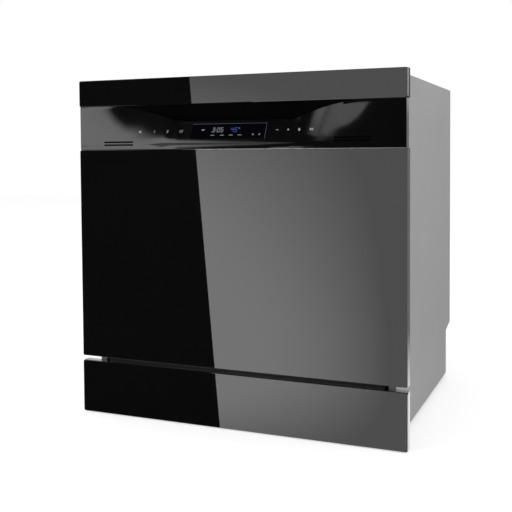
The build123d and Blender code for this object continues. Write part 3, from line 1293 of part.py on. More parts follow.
def salt_cap():
    """Screw cap of the salt neck, with a plug and a grip bar."""
    y = at(SALT_SETBACK)
    low = TUB_FLOOR + SALT_NECK_RISE + SIDE_GAP
    top = low + SALT_CAP_THICKNESS
    long_half = SALT_GRIP_HALF_LENGTH
    half = SALT_GRIP_HALF_WIDTH
    cap = rod_z(SALT_X, y, low, top, SALT_NECK_RADIUS + SALT_CAP_RIM)
    cap += rod_z(SALT_X, y, low - SALT_PLUG, low, SALT_NECK_RADIUS - SALT_NECK_WALL - RUNNING_GAP)
    cap += block(SALT_X - long_half, SALT_X + long_half, y - half, y + half, top, top + SALT_CAP_THICKNESS)
    return [cap]


def spray_manifold():
    """Water feed: the hub of the lower arm, a pipe from the pump, and a duct up the tub's back wall."""
    y = SPRAY_Y
    z = FEED_PIPE_HEIGHT
    outlet_x = VOLUTE_END + VOLUTE_WIDTH / 2
    duct_front = at(TUB_BACK) - DUCT_DEPTH
    duct_y = duct_front + DUCT_DEPTH / 2
    shoulder = LOWER_ARM_BOTTOM - SIDE_GAP
    cap_low = LOWER_ARM_BOTTOM + ARM_HEIGHT + SIDE_GAP
    spigot_top = cap_low + HUB_CAP - HUB_CAP_LID
    hub = rod_z(0, y, z, shoulder, HUB_RADIUS)
    hub += rod_z(0, y, shoulder, spigot_top, SPIGOT_RADIUS)
    hub += Pos(0, y, z) * Sphere(HUB_RADIUS)
    hub += rod_x(outlet_x, 0, y, z, FEED_PIPE_RADIUS)
    hub += Pos(outlet_x, y, z) * Sphere(FEED_PIPE_RADIUS)
    hub += rod_z(outlet_x, y, PUMP_OUTLET_TOP - VOLUTE_WALL, z, FEED_PIPE_RADIUS)
    hub += rod_y(0, y, duct_y, z, FEED_PIPE_RADIUS)
    hub += Pos(0, duct_y, z) * Sphere(FEED_PIPE_RADIUS)
    hub += rod_z(0, duct_y, z, TUB_FLOOR, FEED_PIPE_RADIUS)
    hub -= rod_z(0, y, z, spigot_top + CUT_PAST, SPIGOT_BORE)
    cap = rod_z(0, y, cap_low, cap_low + HUB_CAP, SPIGOT_RADIUS + HUB_CAP_RIM)
    cap -= rod_z(0, y, cap_low - CUT_PAST, spigot_top, SPIGOT_RADIUS)
    half = DUCT_WIDTH / 2
    duct = block(-half, half, duct_front, at(TUB_BACK), TUB_FLOOR, DUCT_TOP)
    duct += rod_y(0, at(DOCK_SETBACK), duct_front, DOCK_HEIGHT, DOCK_RADIUS)
    return [hub, cap, duct]


def spray_arm(bottom, reach, y, hub_radius):
    """Flat spray arm: a tapered bar with jets, turning on a bored hub."""
    run = reach - ARM_TIP_RADIUS
    tip = Circle(ARM_TIP_RADIUS)
    outline = make_hull((Circle(ARM_ROOT_RADIUS) + Pos(run, 0) * tip + Pos(-run, 0) * tip).edges())
    arm = extrude(outline, amount=ARM_HEIGHT, dir=(0, 0, 1))
    arm = fillet(arm.edges().group_by(Axis.Z)[-1], ARM_EDGE_RADIUS)
    arm -= Cylinder(hub_radius, 3 * ARM_HEIGHT)
    for side in (-1, 1):
        for i in range(JETS_PER_WING):
            along = side * (JET_START + i * (run - JET_START) / (JETS_PER_WING - 1))
            arm -= Pos(along, (-1) ** i * JET_SIDE_STEP, 0) * Cylinder(JET_RADIUS, 3 * ARM_HEIGHT)
    return [Pos(0, y, bottom) * arm]


# Racks

def wire_grid(width, height, pitch_x, pitch_y):
    """Flat grille in the XY plane, from the origin, with a square frame and round wires."""
    bar = RACK_BAR
    grid = Pos(width / 2, height / 2,
               bar / 2) * (Box(width, height, bar) - Box(width - 2 * bar, height - 2 * bar, bar))
    middle = bar / 2
    wires = []
    for x in spaced(middle, width - middle, pitch_x)[1:-1]:
        wires.append(rod_y(x, middle, height - middle, middle, WIRE_RADIUS))
    if pitch_y:
        for y in spaced(middle, height - middle, pitch_y)[1:-1]:
            wires.append(rod_x(middle, width - middle, y, middle, WIRE_RADIUS))
    for wire in wires:
        grid += wire
    return grid


def flat_grid(x0, x1, y0, y1, z, pitch):
    """Horizontal grille whose underside is at z."""
    return Pos(x0, y0, z) * wire_grid(x1 - x0, y1 - y0, pitch, pitch)


def cross_grid(x0, x1, y, z0, z1, pitch):
    """Upright grille across the rack, with its front face at y."""
    plane = Plane(origin=(x0, y + RACK_BAR, z0), x_dir=(1, 0, 0), z_dir=(0, -1, 0))
    return plane.location * wire_grid(x1 - x0, z1 - z0, pitch, 0)


def long_grid(x, y0, y1, z0, z1, pitch):
    """Upright grille along the rack's side, between x and x plus one bar."""
    plane = Plane(origin=(x, y0, z0), x_dir=(0, 1, 0), z_dir=(1, 0, 0))
    return plane.location * wire_grid(y1 - y0, z1 - z0, pitch, 0)


def tine_row(x, y0, y1, z):
    """Comb of upright tines on a strip that lies along the rack."""
    comb = block(x - TINE_RADIUS, x + TINE_RADIUS, y0, y1, z, z + TINE_STRIP)
    for y in spaced(y0 + TINE_STRIP, y1 - TINE_STRIP, TINE_PITCH):
        comb += rod_z(x, y, z + TINE_STRIP / 2, z + TINE_HEIGHT, TINE_RADIUS)
        comb += Pos(x, y, z + TINE_HEIGHT) * Sphere(TINE_RADIUS)
    return comb


def rack_core(bottom, top, front):
    """Base, front and back grilles of a rack."""
    inner = HALF_RACK - RACK_BAR
    base = flat_grid(-inner, inner, at(front), at(RACK_BACK), bottom, RACK_PITCH)
    ends = [
        cross_grid(-inner, inner, at(front), bottom + RACK_BAR, top, RACK_PITCH),
        cross_grid(-inner, inner, at(RACK_BACK) - RACK_BAR, bottom + RACK_BAR, top, RACK_PITCH),
    ]
    return base, ends


def lower_rack_grid():
    """Base and ends of the lower rack, with four combs of tines."""
    base, ends = rack_core(LOWER_RACK_BOTTOM, LOWER_RACK_TOP, LOWER_RACK_FRONT)
    z = LOWER_RACK_BOTTOM + RACK_BAR
    y0 = at(LOWER_RACK_FRONT) + TINE_END_GAP
    y1 = at(RACK_BACK) - TINE_END_GAP
    return [base] + ends + [tine_row(x, y0, y1, z) for x in TINE_ROWS]


def lower_rack_sides():
    """Side grilles of the lower rack, each with two hangers and axle stubs for the wheels."""
    inner = HALF_RACK - RACK_BAR
    side = long_grid(inner, at(LOWER_RACK_FRONT), at(RACK_BACK), LOWER_RACK_BOTTOM, LOWER_RACK_TOP,
                     RACK_PITCH)
    head_start = HALF_RACK + AXLE_SHOULDER + WHEEL_WIDTH + 2 * SIDE_GAP
    head_end = head_start + AXLE_HEAD
    z = WHEEL_HEIGHT
    half = HANGER_HALF_WIDTH
    for setback in WHEEL_SETBACKS:
        y = at(setback)
        side += block(inner, HALF_RACK, y - half, y + half, z - HANGER_DROP, LOWER_RACK_BOTTOM + RACK_BAR)
        side += rod_x(HALF_RACK, HALF_RACK + AXLE_SHOULDER, y, z, 2 * AXLE_RADIUS)
        side += rod_x(HALF_RACK, head_end, y, z, AXLE_RADIUS)
        side += rod_x(head_start, head_end, y, z, AXLE_RADIUS + AXLE_COLLAR)
    return mirrored(side)


def rack_wheels(setback):
    """Pair of grooved wheels on one axle line."""
    x0 = HALF_RACK + SIDE_GAP + AXLE_SHOULDER
    x1 = x0 + WHEEL_WIDTH
    y = at(setback)
    depth = WHEEL_HOLE_RADIUS
    wheel = rod_x(x0, x1, y, WHEEL_HEIGHT, WHEEL_RADIUS)
    wheel -= rod_x(x0 - CUT_PAST, x1 + CUT_PAST, y, WHEEL_HEIGHT, AXLE_RADIUS + RUNNING_GAP)
    for i in range(5):
        angle = math.radians(72 * i)
        across = WHEEL_HOLE_CIRCLE * math.sin(angle)
        up = WHEEL_HOLE_CIRCLE * math.cos(angle)
        wheel -= rod_x(x1 - depth, x1 + CUT_PAST, y - across, WHEEL_HEIGHT + up, WHEEL_HOLE_RADIUS)
    return mirrored(wheel)


def cutlery_basket():
    """Slotted basket in two compartments, standing on the rack's base."""
    z0 = LOWER_RACK_BOTTOM + RACK_BAR
    z1 = z0 + BASKET_HEIGHT
    y0 = at(BASKET_FRONT)
    y1 = at(BASKET_BACK)
    wall = BASKET_WALL
    half = BASKET_SLOT_HALF_WIDTH
    low = z0 + BASKET_SLOT_BOTTOM
    high = z1 - BASKET_SLOT_TOP
    middle = (y0 + y1) / 2
    left = BASKET_LEFT
    right = BASKET_RIGHT
    basket = block(left, right, y0, y1, z0, z1)
    for front, back in ((y0 + wall, middle - wall / 2), (middle + wall / 2, y1 - wall)):
        basket -= block(left + wall, right - wall, front, back, z0 + wall, z1 + CUT_PAST)
    for y in spaced(y0 + BASKET_END_GAP, y1 - BASKET_END_GAP, BASKET_LONG_PITCH):
        if abs(y - middle) > half + wall / 2:
            basket -= block(left - CUT_PAST, right + CUT_PAST, y - half, y + half, low, high)
    for x in spaced(left + BASKET_CROSS_PITCH, right - BASKET_CROSS_PITCH, BASKET_CROSS_PITCH):
        basket -= block(x - half, x + half, y0 - CUT_PAST, y0 + wall + CUT_PAST, low, high)
        basket -= block(x - half, x + half, y1 - wall - CUT_PAST, y1 + CUT_PAST, low, high)
    return [basket]


def upper_rack_grid():
    """Base and ends of the upper rack, the pipe that feeds its arm, and the arm's spigot with its nut."""
    base, ends = rack_core(UPPER_RACK_BOTTOM, UPPER_RACK_TOP, UPPER_RACK_FRONT)
    y = UPPER_ARM_Y
    top = UPPER_ARM_BOTTOM + ARM_HEIGHT + SIDE_GAP
    nut_bottom = UPPER_ARM_BOTTOM - NUT_HEIGHT
    nut_floor = nut_bottom + NUT_FLOOR
    dock = at(DOCK_SETBACK) - SIDE_GAP
    collar = SPIGOT_RADIUS + HUB_CAP_RIM
    base += rod_z(0, y, UPPER_RACK_BOTTOM, UPPER_RACK_BOTTOM + RACK_BAR, UPPER_HUB_PLATE_RADIUS)
    feed = rod_z(0, y, top, UPPER_RACK_BOTTOM, collar)
    feed += rod_y(0, y, dock, DOCK_HEIGHT, DOCK_RADIUS)
    feed += rod_z(0, y, nut_floor, top, SPIGOT_RADIUS)
    nut = rod_z(0, y, nut_bottom, UPPER_ARM_BOTTOM - SIDE_GAP, collar)
    nut -= rod_z(0, y, nut_floor, UPPER_ARM_BOTTOM + CUT_PAST, SPIGOT_RADIUS)
    return [base] + ends + [feed, nut]


def upper_rack_sides():
    """Side grilles of the upper rack with hollow rails; the left one has two eyes for the cup shelf."""
    inner = HALF_RACK - RACK_BAR
    y0 = at(UPPER_RACK_FRONT)
    y1 = at(RACK_BACK)
    low = RAIL_BOTTOM
    high = RAIL_BOTTOM + RAIL_HEIGHT
    bore_in = HALF_RACK + RAIL_WALL
    bore_out = HALF_RACK + RAIL_WIDTH - RAIL_WALL
    side = long_grid(inner, y0, y1, UPPER_RACK_BOTTOM, UPPER_RACK_TOP, RACK_PITCH)
    rail = block(HALF_RACK, HALF_RACK + RAIL_WIDTH, y0, y1, low, high)
    rail -= block(bore_in, bore_out, y0 - CUT_PAST, y1 + CUT_PAST, low + RAIL_WALL, high - RAIL_WALL)
    strip = block(inner, HALF_RACK, y0, y1, low, high)
    right, left = mirrored(side + rail + strip)
    bar_half = RACK_BAR * 3 / 4
    left += block(-HALF_RACK, -inner, y0, y1, SHELF_HEIGHT - bar_half, SHELF_HEIGHT + bar_half)
    x = -inner + SHELF_AXIS_INSET
    half = EYE_HALF_LENGTH
    for setback in EYE_SETBACKS:
        y = at(setback)
        left += block(-HALF_RACK, x + EYE_HALF, y - half, y + half, SHELF_HEIGHT - EYE_HALF,
                      SHELF_HEIGHT + EYE_HALF)
        left -= rod_y(x, y - half - CUT_PAST, y + half + CUT_PAST, SHELF_HEIGHT,
                      SHELF_ROD_RADIUS + RUNNING_GAP)
    return [right, left]


def cup_shelf():
    """Folding wire shelf on a rod that turns in the two eyes."""
    x = SHELF_AXIS_INSET + RACK_BAR - HALF_RACK
    rod_front = at(EYE_SETBACKS[0]) - SHELF_ROD_END
    rod_back = at(EYE_SETBACKS[1]) + SHELF_ROD_END
    front = at(EYE_SETBACKS[0]) + SHELF_END_GAP
    back = at(EYE_SETBACKS[1]) - SHELF_END_GAP
    low = SHELF_HEIGHT - RACK_BAR / 2
    shelf = rod_y(x, rod_front, rod_back, SHELF_HEIGHT, SHELF_ROD_RADIUS)
    shelf += flat_grid(x + 3 * SHELF_ROD_RADIUS, x + SHELF_WIDTH, front, back, low, SHELF_PITCH)
    for y in (front + SHELF_ARM_INSET, back - SHELF_ARM_INSET):
        shelf += rod_x(x, x + 4 * SHELF_ROD_RADIUS, y, SHELF_HEIGHT, WIRE_RADIUS)
    return [shelf]


def roller_brackets():
    """Plates on the tub's side walls with axle stubs under the rail and a glide above it."""
    wall = HALF_TUB
    y0 = at(ROLLER_SETBACKS[0] - BRACKET_MARGIN)
    y1 = at(ROLLER_SETBACKS[1] + BRACKET_MARGIN)
    top = RAIL_BOTTOM + RAIL_HEIGHT
    z = RAIL_BOTTOM - SIDE_GAP - ROLLER_RADIUS
    start = HALF_RACK + ROLLER_INSET
    glide_inset = ROLLER_INSET
    plate = block(wall - BRACKET_THICKNESS, wall, y0, y1, z - BRACKET_DROP, top + BRACKET_RISE)
    plate += block(start, wall, y0 + glide_inset, y1 - glide_inset, top + SIDE_GAP,
                   top + SIDE_GAP + GLIDE_THICKNESS)
    head = start - SIDE_GAP
    collar = AXLE_RADIUS + AXLE_COLLAR
    for setback in ROLLER_SETBACKS:
        y = at(setback)
        plate += rod_x(head - ROLLER_HEAD, wall, y, z, AXLE_RADIUS)
        plate += rod_x(head - ROLLER_HEAD, head, y, z, collar)
        plate += rod_x(start + ROLLER_WIDTH + SIDE_GAP, wall, y, z, collar)
    return mirrored(plate)


def rail_rollers(setback):
    """Pair of rollers under the two rails, on one line."""
    x0 = HALF_RACK + ROLLER_INSET
    x1 = x0 + ROLLER_WIDTH
    y = at(setback)
    z = RAIL_BOTTOM - SIDE_GAP - ROLLER_RADIUS
    roller = rod_x(x0, x1, y, z, ROLLER_RADIUS)
    roller -= rod_x(x0 - CUT_PAST, x1 + CUT_PAST, y, z, AXLE_RADIUS + RUNNING_GAP)
    return mirrored(roller)


def parts():
    """Every node of the object, by name."""
    nodes = {
        "side_panels": side_panels(),
        "top_cover": top_cover(),
        "back_panel": back_panel(),
        "back_screws": screws(),
        "base_tray": base_tray(),
        "leak_float": leak_float(),
        "base_front_cover": base_front_cover(),
        "plinth_glass": plinth_glass(),
        "plinth_frame": plinth_frame(),
        "door_glass": door_glass(),
        "top_strip_glass": top_strip_glass(),
        "door_frame": door_frame(),
        "top_rail": top_rail(),
        "latch_lever": latch_lever(),
        "latch_strike": latch_strike(),
        "control_fascia": control_fascia(),
        "display_window": display_window(),
        "control_board": control_board(),
        "door_liner": door_liner(),
        "dispenser_body": dispenser_body(),
        "dispenser_lid": dispenser_lid(),
        "rinse_cap": rinse_cap(),
        "hinge_brackets": hinge_brackets(),
        "hinge_arms": hinge_arms(),
        "balance_springs": balance_springs(),
        "tub": tub(),
        "door_gasket": door_gasket(),
        "insulation_felt": insulation_felt(),
        "heater": heater(),
        "filter_plate": filter_plate(),
        "filter_cylinder": filter_cylinder(),
        "sump": sump(),
        "circulation_pump": circulation_pump_body(),
        "circulation_impeller": circulation_impeller(),
        "drain_pump": drain_pump(),
        "hoses": hoses(),
        "air_break_chamber": air_break_chamber(),
        "inlet_valve": inlet_valve(),
        "terminal_box": terminal_box(),
        "softener_tank": softener_tank(),
        "salt_cap": salt_cap(),
        "spray_manifold": spray_manifold(),
        "lower_spray_arm": spray_arm(LOWER_ARM_BOTTOM, LOWER_ARM_REACH, SPRAY_Y, SPIGOT_RADIUS + SHAFT_GAP),
        "upper_spray_arm": spray_arm(UPPER_ARM_BOTTOM, UPPER_ARM_REACH, UPPER_ARM_Y,
                                     SPIGOT_RADIUS + SHAFT_GAP),
        "lower_rack_grid": lower_rack_grid(),
        "lower_rack_sides": lower_rack_sides(),
        "lower_wheels_front": rack_wheels(WHEEL_SETBACKS[0]),
        "lower_wheels_rear": rack_wheels(WHEEL_SETBACKS[1]),
        "cutlery_basket": cutlery_basket(),
        "upper_rack_grid": upper_rack_grid(),
        "upper_rack_sides": upper_rack_sides(),
        "cup_shelf": cup_shelf(),
        "roller_brackets": roller_brackets(),
        "rail_rollers_front": rail_rollers(ROLLER_SETBACKS[0]),
        "rail_rollers_rear": rail_rollers(ROLLER_SETBACKS[1]),
    }
    for name in foot_places():
        nodes[name] = foot(name)
    return nodes


os.makedirs("parts", exist_ok=True)
for node, solids in parts().items():
    export_step(solids[0] if len(solids) == 1 else Compound(children=solids), f"parts/{node}.step")
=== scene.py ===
"""Dresses the semi-integrated dishwasher: glass front, grey casing, steel tub, coated racks, and a studio."""
import logging
import math
from dataclasses import dataclass, field
from enum import Enum
from typing import Callable, Sequence

import bmesh
import bpy
from mathutils import Matrix, Vector


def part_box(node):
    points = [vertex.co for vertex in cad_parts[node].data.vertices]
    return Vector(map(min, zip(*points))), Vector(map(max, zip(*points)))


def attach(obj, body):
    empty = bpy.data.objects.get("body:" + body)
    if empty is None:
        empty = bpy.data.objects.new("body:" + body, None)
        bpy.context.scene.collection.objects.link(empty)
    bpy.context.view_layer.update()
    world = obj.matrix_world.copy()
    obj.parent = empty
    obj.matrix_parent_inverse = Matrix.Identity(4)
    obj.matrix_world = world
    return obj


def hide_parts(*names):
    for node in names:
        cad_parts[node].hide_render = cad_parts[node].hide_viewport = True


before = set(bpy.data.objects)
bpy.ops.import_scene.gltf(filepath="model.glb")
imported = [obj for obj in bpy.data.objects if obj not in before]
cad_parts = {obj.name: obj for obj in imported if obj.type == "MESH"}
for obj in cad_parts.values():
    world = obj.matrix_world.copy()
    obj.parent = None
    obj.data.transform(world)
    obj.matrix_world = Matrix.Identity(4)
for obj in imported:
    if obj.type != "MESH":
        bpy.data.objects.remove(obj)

Colour = tuple[float, float, float]
Point = tuple[float, float, float]
Pair = tuple[float, float]
Outline = Sequence[Pair]
Socket = bpy.types.NodeSocket
Sockets = bpy.types.NodeOutputs
Inputs = dict[str | int, object]

LOG = logging.getLogger("dishwasher")
MM = 0.001
WHITE = (1.0, 1.0, 1.0, 1.0)
UP = Vector((0.0, 0.0, 1.0))
SIDES = (-1.0, 1.0)
FRONT = -0.25
HALF_FRONT = 0.2975
NOISE_LOW = 0.3
NOISE_HIGH = 0.7


def srgb(red: float, green: float, blue: float) -> Colour:
    """Turns a colour of 0 to 255 into the linear values that a shader takes.

    Args:
        red: The red share.
        green: The green share.
        blue: The blue share.

    Returns:
        The same colour as three linear shares of one.
    """
    def linear(level: float) -> float:
        """Gives the linear share of one level."""
        share = level / 255.0
        return share / 12.92 if share <= 0.04045 else ((share + 0.055) / 1.055) ** 2.4
    return linear(red), linear(green), linear(blue)


def grey(level: float) -> Colour:
    """Gives a neutral grey of 0 to 255 in linear values."""
    return srgb(level, level, level)


def even(first: float, last: float, pitch: float) -> list[float]:
    """Gives even places between two ends, in steps of about one pitch."""
    count = max(1, round((last - first) / pitch))
    return [first + (last - first) * step / count for step in range(count + 1)]


def circle(radius: float, sides: int) -> list[Pair]:
    """Gives the corners of a round outline."""
    turns = [math.tau * spot / sides for spot in range(sides)]
    return [(radius * math.cos(turn), radius * math.sin(turn)) for turn in turns]


@dataclass(frozen=True)
class NodeBench:
    """Adds and links the nodes of one tree.

    Attributes:
        tree: The node tree that is worked on.
    """

    tree: bpy.types.NodeTree

    def feed(self, node: bpy.types.Node, inputs: Inputs) -> None:
        """Sets or links the inputs of a node.

        Args:
            node: The node.
            inputs: What each input gets, by its name or number: a plain value or another node's socket.
        """
        for name, value in inputs.items():
            if isinstance(value, Socket):
                self.tree.links.new(value, node.inputs[name])
            else:
                node.inputs[name].default_value = value

    def add(self, kind: str, inputs: Inputs, **settings: object) -> bpy.types.Node:
        """Adds a node.

        Args:
            kind: The node's type, such as ShaderNodeBump.
            inputs: What each input gets, by its name or number.
            settings: Attributes of the node, by name.

        Returns:
            The new node.
        """
        node = self.tree.nodes.new(kind)
        for name, value in settings.items():
            setattr(node, name, value)
        self.feed(node, inputs)
        return node

    def math(self, operation: str, *values: object) -> Socket:
        """Adds one sum over numbers and sockets."""
        return self.add("ShaderNodeMath", dict(enumerate(values)), operation=operation).outputs[0]

    def product(self, *values: object) -> Socket:
        """Multiplies numbers and sockets, one after the other.

        Args:
            values: The numbers and sockets.

        Returns:
            Their product.
        """
        total, *rest = values
        for value in rest:
            total = self.math("MULTIPLY", total, value)
        return total

    def ramp(self, value: Socket, start: Pair, end: Pair) -> Socket:
        """Adds an even rise between two places.

        Args:
            value: The place.
            start: A place and what it gives there.
            end: Another place and what it gives there.

        Returns:
            The value.
        """
        return self.add("ShaderNodeMapRange", {
            "Value": value, "From Min": start[0], "To Min": start[1], "From Max": end[0],
            "To Max": end[1]}).outputs["Result"]

    def place(self) -> Socket:
        """Gives the object's own coordinates."""
        return self.add("ShaderNodeTexCoord", {}).outputs["Object"]

    def axes(self) -> Sockets:
        """Gives the object's own coordinates one by one."""
        return self.add("ShaderNodeSeparateXYZ", {0: self.place()}).outputs

    def noise(self, scale: float, detail: float, stretch: Point = (1.0, 1.0, 1.0)) -> Socket:
        """Adds a noise over the object's coordinates.

        Args:
            scale: The noise's scale per metre.
            detail: How many finer layers it has.
            stretch: The factor along X, Y and Z.

        Returns:
            The noise's value.
        """
        stretched = self.add("ShaderNodeMapping", {"Vector": self.place(), "Scale": stretch})
        return self.add("ShaderNodeTexNoise", {"Vector": stretched.outputs["Vector"], "Scale": scale,
                                               "Detail": detail}).outputs["Fac"]

    def shades(self, value: Socket, colours: Sequence[Colour]) -> Socket:
        """Gives a colour between two shades by a noise value.

        Args:
            value: The noise.
            colours: The shades at its darkest and brightest.

        Returns:
            The colour.
        """
        node = self.add("ShaderNodeValToRGB", {"Fac": value})
        for stop, place, colour in zip(node.color_ramp.elements, (NOISE_LOW, NOISE_HIGH), colours):
            stop.position = place
            stop.color = (*colour, 1.0)
        return node.outputs["Color"]

    def skin(self, curve: Socket, radius: Socket, sides: int) -> Socket:
        """Wraps a round skin with closed ends about a curve of a geometry tree.

        Args:
            curve: The curve.
            radius: The skin's radius.
            sides: Points around it.

        Returns:
            The mesh.
        """
        ring = self.add("GeometryNodeCurvePrimitiveCircle", {"Resolution": sides, "Radius": radius})
        return self.add("GeometryNodeCurveToMesh", {"Curve": curve, "Profile Curve": ring.outputs[0],
                                                    "Fill Caps": True}).outputs[0]


def principled(title: str, inputs: Inputs) -> tuple[bpy.types.Material, NodeBench, bpy.types.Node]:
    """Starts a material.

    Args:
        title: Its name.
        inputs: What the shader's inputs get, by name.

    Returns:
        The material, the bench for its nodes and its shader.
    """
    material = bpy.data.materials.new(title)
    material.use_nodes = True
    bench = NodeBench(material.node_tree)
    shader = bench.tree.nodes["Principled BSDF"]
    bench.feed(shader, inputs)
    return material, bench, shader


class Pattern(Enum):
    """How the fine grain of a finish is drawn out along X, Y and Z."""

    EVEN = (1.0, 1.0, 1.0)
    BRUSHED_X = (0.015, 1.0, 1.0)
    BRUSHED_Z = (1.0, 1.0, 0.015)
    DIPPED = (1.0, 1.0, 0.4)


@dataclass(frozen=True)
class Finish:
    """A surface finish: its colour, gloss and fine relief.

    Attributes:
        title: The material's name.
        slot: The record's material slot that it stands for; not used.
        colour: Base colour in linear values.
        roughness: Mean roughness.
        pattern: How its grain is drawn out.
        metallic: 1 for bare metal.
        spread: How far the roughness varies each way.
        shade_spread: How far the colour varies, as a share.
        grain: Scale of the fine relief per metre.
        relief: Depth of the fine relief in metres.
        ior: Refractive index of the skin.
        coat: Weight of a clear coat.
        glow: Colour that a lit part gives off.
        glow_strength: How bright a lit part is.
    """

    title: str
    slot: str
    colour: Colour
    roughness: float
    pattern: Pattern = Pattern.EVEN
    metallic: float = 0.0
    spread: float = 0.05
    shade_spread: float = 0.06
    grain: float = 1800.0
    relief: float = 0.00004
    ior: float = 1.5
    coat: float = 0.0
    glow: Colour | None = None
    glow_strength: float = 0.0

    def build(self) -> bpy.types.Material:
        """Makes the material with its nodes.

        Returns:
            The material.
        """
        material, bench, shader = principled(self.title, {
            "Metallic": self.metallic, "IOR": self.ior, "Coat Weight": self.coat})
        broad = bench.noise(9.0, 3.0)
        fine = bench.noise(self.grain, 4.0, self.pattern.value)
        relief = bench.add("ShaderNodeBump", {"Strength": 0.5, "Distance": self.relief, "Height": fine})
        least = max(0.0, self.roughness - self.spread)
        bench.feed(shader, {
            "Base Color": bench.shades(broad, [tuple(level * (1.0 + side * self.shade_spread)
                                                     for level in self.colour) for side in SIDES]),
            "Roughness": bench.ramp(fine, (NOISE_LOW, least), (NOISE_HIGH, self.roughness + self.spread)),
            "Normal": relief.outputs["Normal"]})
        if self.glow is not None:
            bench.feed(shader, {"Emission Color": (*self.glow, 1.0), "Emission Strength": self.glow_strength})
        return material


BLACK_GLASS = Finish("black glass", "black_glass", (0.004, 0.004, 0.0045), 0.012, spread=0.006, grain=14.0,
                     relief=0.00001, ior=1.52)
FASCIA_GLOSS = Finish("glossy black moulding", "fascia_black", (0.0035, 0.0035, 0.004), 0.12, spread=0.02,
                      grain=30.0, relief=0.00001)
RECESS_BLACK = Finish("dull black recess", "fascia_black", (0.004, 0.004, 0.004), 0.85, grain=900.0, ior=1.06)
DISPLAY_GLASS = Finish("display glass", "display_glass", (0.002, 0.002, 0.003), 0.02, spread=0.008,
                       grain=16.0, relief=0.000005)
EDGE_METAL = Finish("anodised edge", "edge_metal", srgb(200, 200, 202), 0.14, Pattern.BRUSHED_Z, metallic=1.0,
                    spread=0.07, shade_spread=0.05, grain=900.0, relief=0.00002)
# Painted highlight: a pale grey on the left and right side faces of the strip and skirt panes, in place of a
# bright reflection along the front's edges.
EDGE_PAINTED_HIGHLIGHT = Finish("ground glass edge", "black_glass", grey(205), 0.45, spread=0.06, shade_spread=0.03,
                    grain=1500.0, relief=0.00002)
CASING_GREY = Finish("casing paint", "casing_grey", grey(162), 0.5, shade_spread=0.02, grain=420.0,
                     relief=0.00003, ior=1.15)
COVER_BLACK = Finish("black cover paint", "cover_black", grey(30), 0.5, grain=420.0)
STAINLESS = Finish("brushed steel", "stainless", srgb(196, 196, 198), 0.3, Pattern.BRUSHED_X, metallic=1.0,
                   spread=0.08, shade_spread=0.05, grain=1100.0, relief=0.00002)
STEEL_UPRIGHT = Finish("brushed steel upright", "stainless", srgb(194, 195, 197), 0.32, Pattern.BRUSHED_Z,
                       metallic=1.0, spread=0.08, shade_spread=0.05, grain=1100.0, relief=0.00002)
ZINC = Finish("zinc plate", "zinc_steel", srgb(178, 180, 184), 0.36, metallic=1.0, spread=0.12,
              shade_spread=0.12, grain=160.0, relief=0.00003)
RUBBER = Finish("grey rubber", "rubber_grey", grey(78), 0.68, grain=700.0, relief=0.00006)
FELT = Finish("bitumen felt", "felt_grey", grey(66), 0.92, shade_spread=0.25, grain=900.0, relief=0.0004)
PLASTIC_WHITE = Finish("white plastic", "plastic_white", srgb(226, 227, 224), 0.4, grain=1500.0)
PLASTIC_GREY = Finish("grey plastic", "plastic_grey", srgb(150, 153, 156), 0.42, grain=1500.0)
PLASTIC_DARK = Finish("dark plastic", "plastic_dark", grey(44), 0.48, grain=1500.0)
RACK_COATING = Finish("rack coating", "rack_coating", srgb(176, 180, 184), 0.36, Pattern.DIPPED, grain=120.0,
                      relief=0.00008, coat=0.25)
BOARD_GREEN = Finish("board lacquer", "board_green", srgb(24, 82, 52), 0.32, grain=300.0, coat=0.5)
HOSE_BLACK = Finish("black hose", "hose_black", grey(34), 0.55, grain=900.0)
PRINT_WHITE = Finish("printed symbols", "fascia_black", grey(206), 0.5, grain=2500.0, relief=0.000005)
PRINT_GREY = Finish("printed line", "fascia_black", grey(104), 0.5, grain=2500.0, relief=0.000005)
GLOW_WHITE = Finish("lit digits", "display_glass", grey(120), 0.5, grain=2500.0, relief=0.000005,
                    glow=(0.95, 0.97, 1.0), glow_strength=0.42)
GLOW_BLUE = Finish("lit figures", "display_glass", srgb(40, 50, 120), 0.5, grain=2500.0, relief=0.000005,
                   glow=srgb(104, 116, 238), glow_strength=0.7)

NODES_BY_FINISH: tuple[tuple[Finish, str], ...] = (
    (CASING_GREY, "side_panels top_cover back_panel"),
    (ZINC, "back_screws latch_strike hinge_brackets hinge_arms balance_springs roller_brackets"),
    (ZINC, "foot_front_left foot_front_right foot_rear_left foot_rear_right"),
    (BLACK_GLASS, "plinth_glass door_glass top_strip_glass"),
    (EDGE_METAL, "plinth_frame door_frame"),
    (COVER_BLACK, "base_front_cover top_rail"),
    (FASCIA_GLOSS, "control_fascia"),
    (DISPLAY_GLASS, "display_window"),
    (BOARD_GREEN, "control_board"),
    (STEEL_UPRIGHT, "door_liner"),
    (STAINLESS, "tub heater filter_plate"),
    (RUBBER, "door_gasket"),
    (FELT, "insulation_felt"),
    (HOSE_BLACK, "hoses"),
    (PLASTIC_WHITE, "leak_float dispenser_lid air_break_chamber inlet_valve softener_tank"),
    (PLASTIC_WHITE, "rail_rollers_front rail_rollers_rear"),
    (PLASTIC_GREY, "latch_lever dispenser_body filter_cylinder sump circulation_pump salt_cap"),
    (PLASTIC_GREY, "spray_manifold lower_spray_arm upper_spray_arm"),
    (PLASTIC_GREY, "lower_wheels_front lower_wheels_rear cutlery_basket"),
    (PLASTIC_DARK, "base_tray rinse_cap circulation_impeller drain_pump terminal_box"),
    (RACK_COATING, "lower_rack_grid lower_rack_sides upper_rack_grid upper_rack_sides cup_shelf"),
)


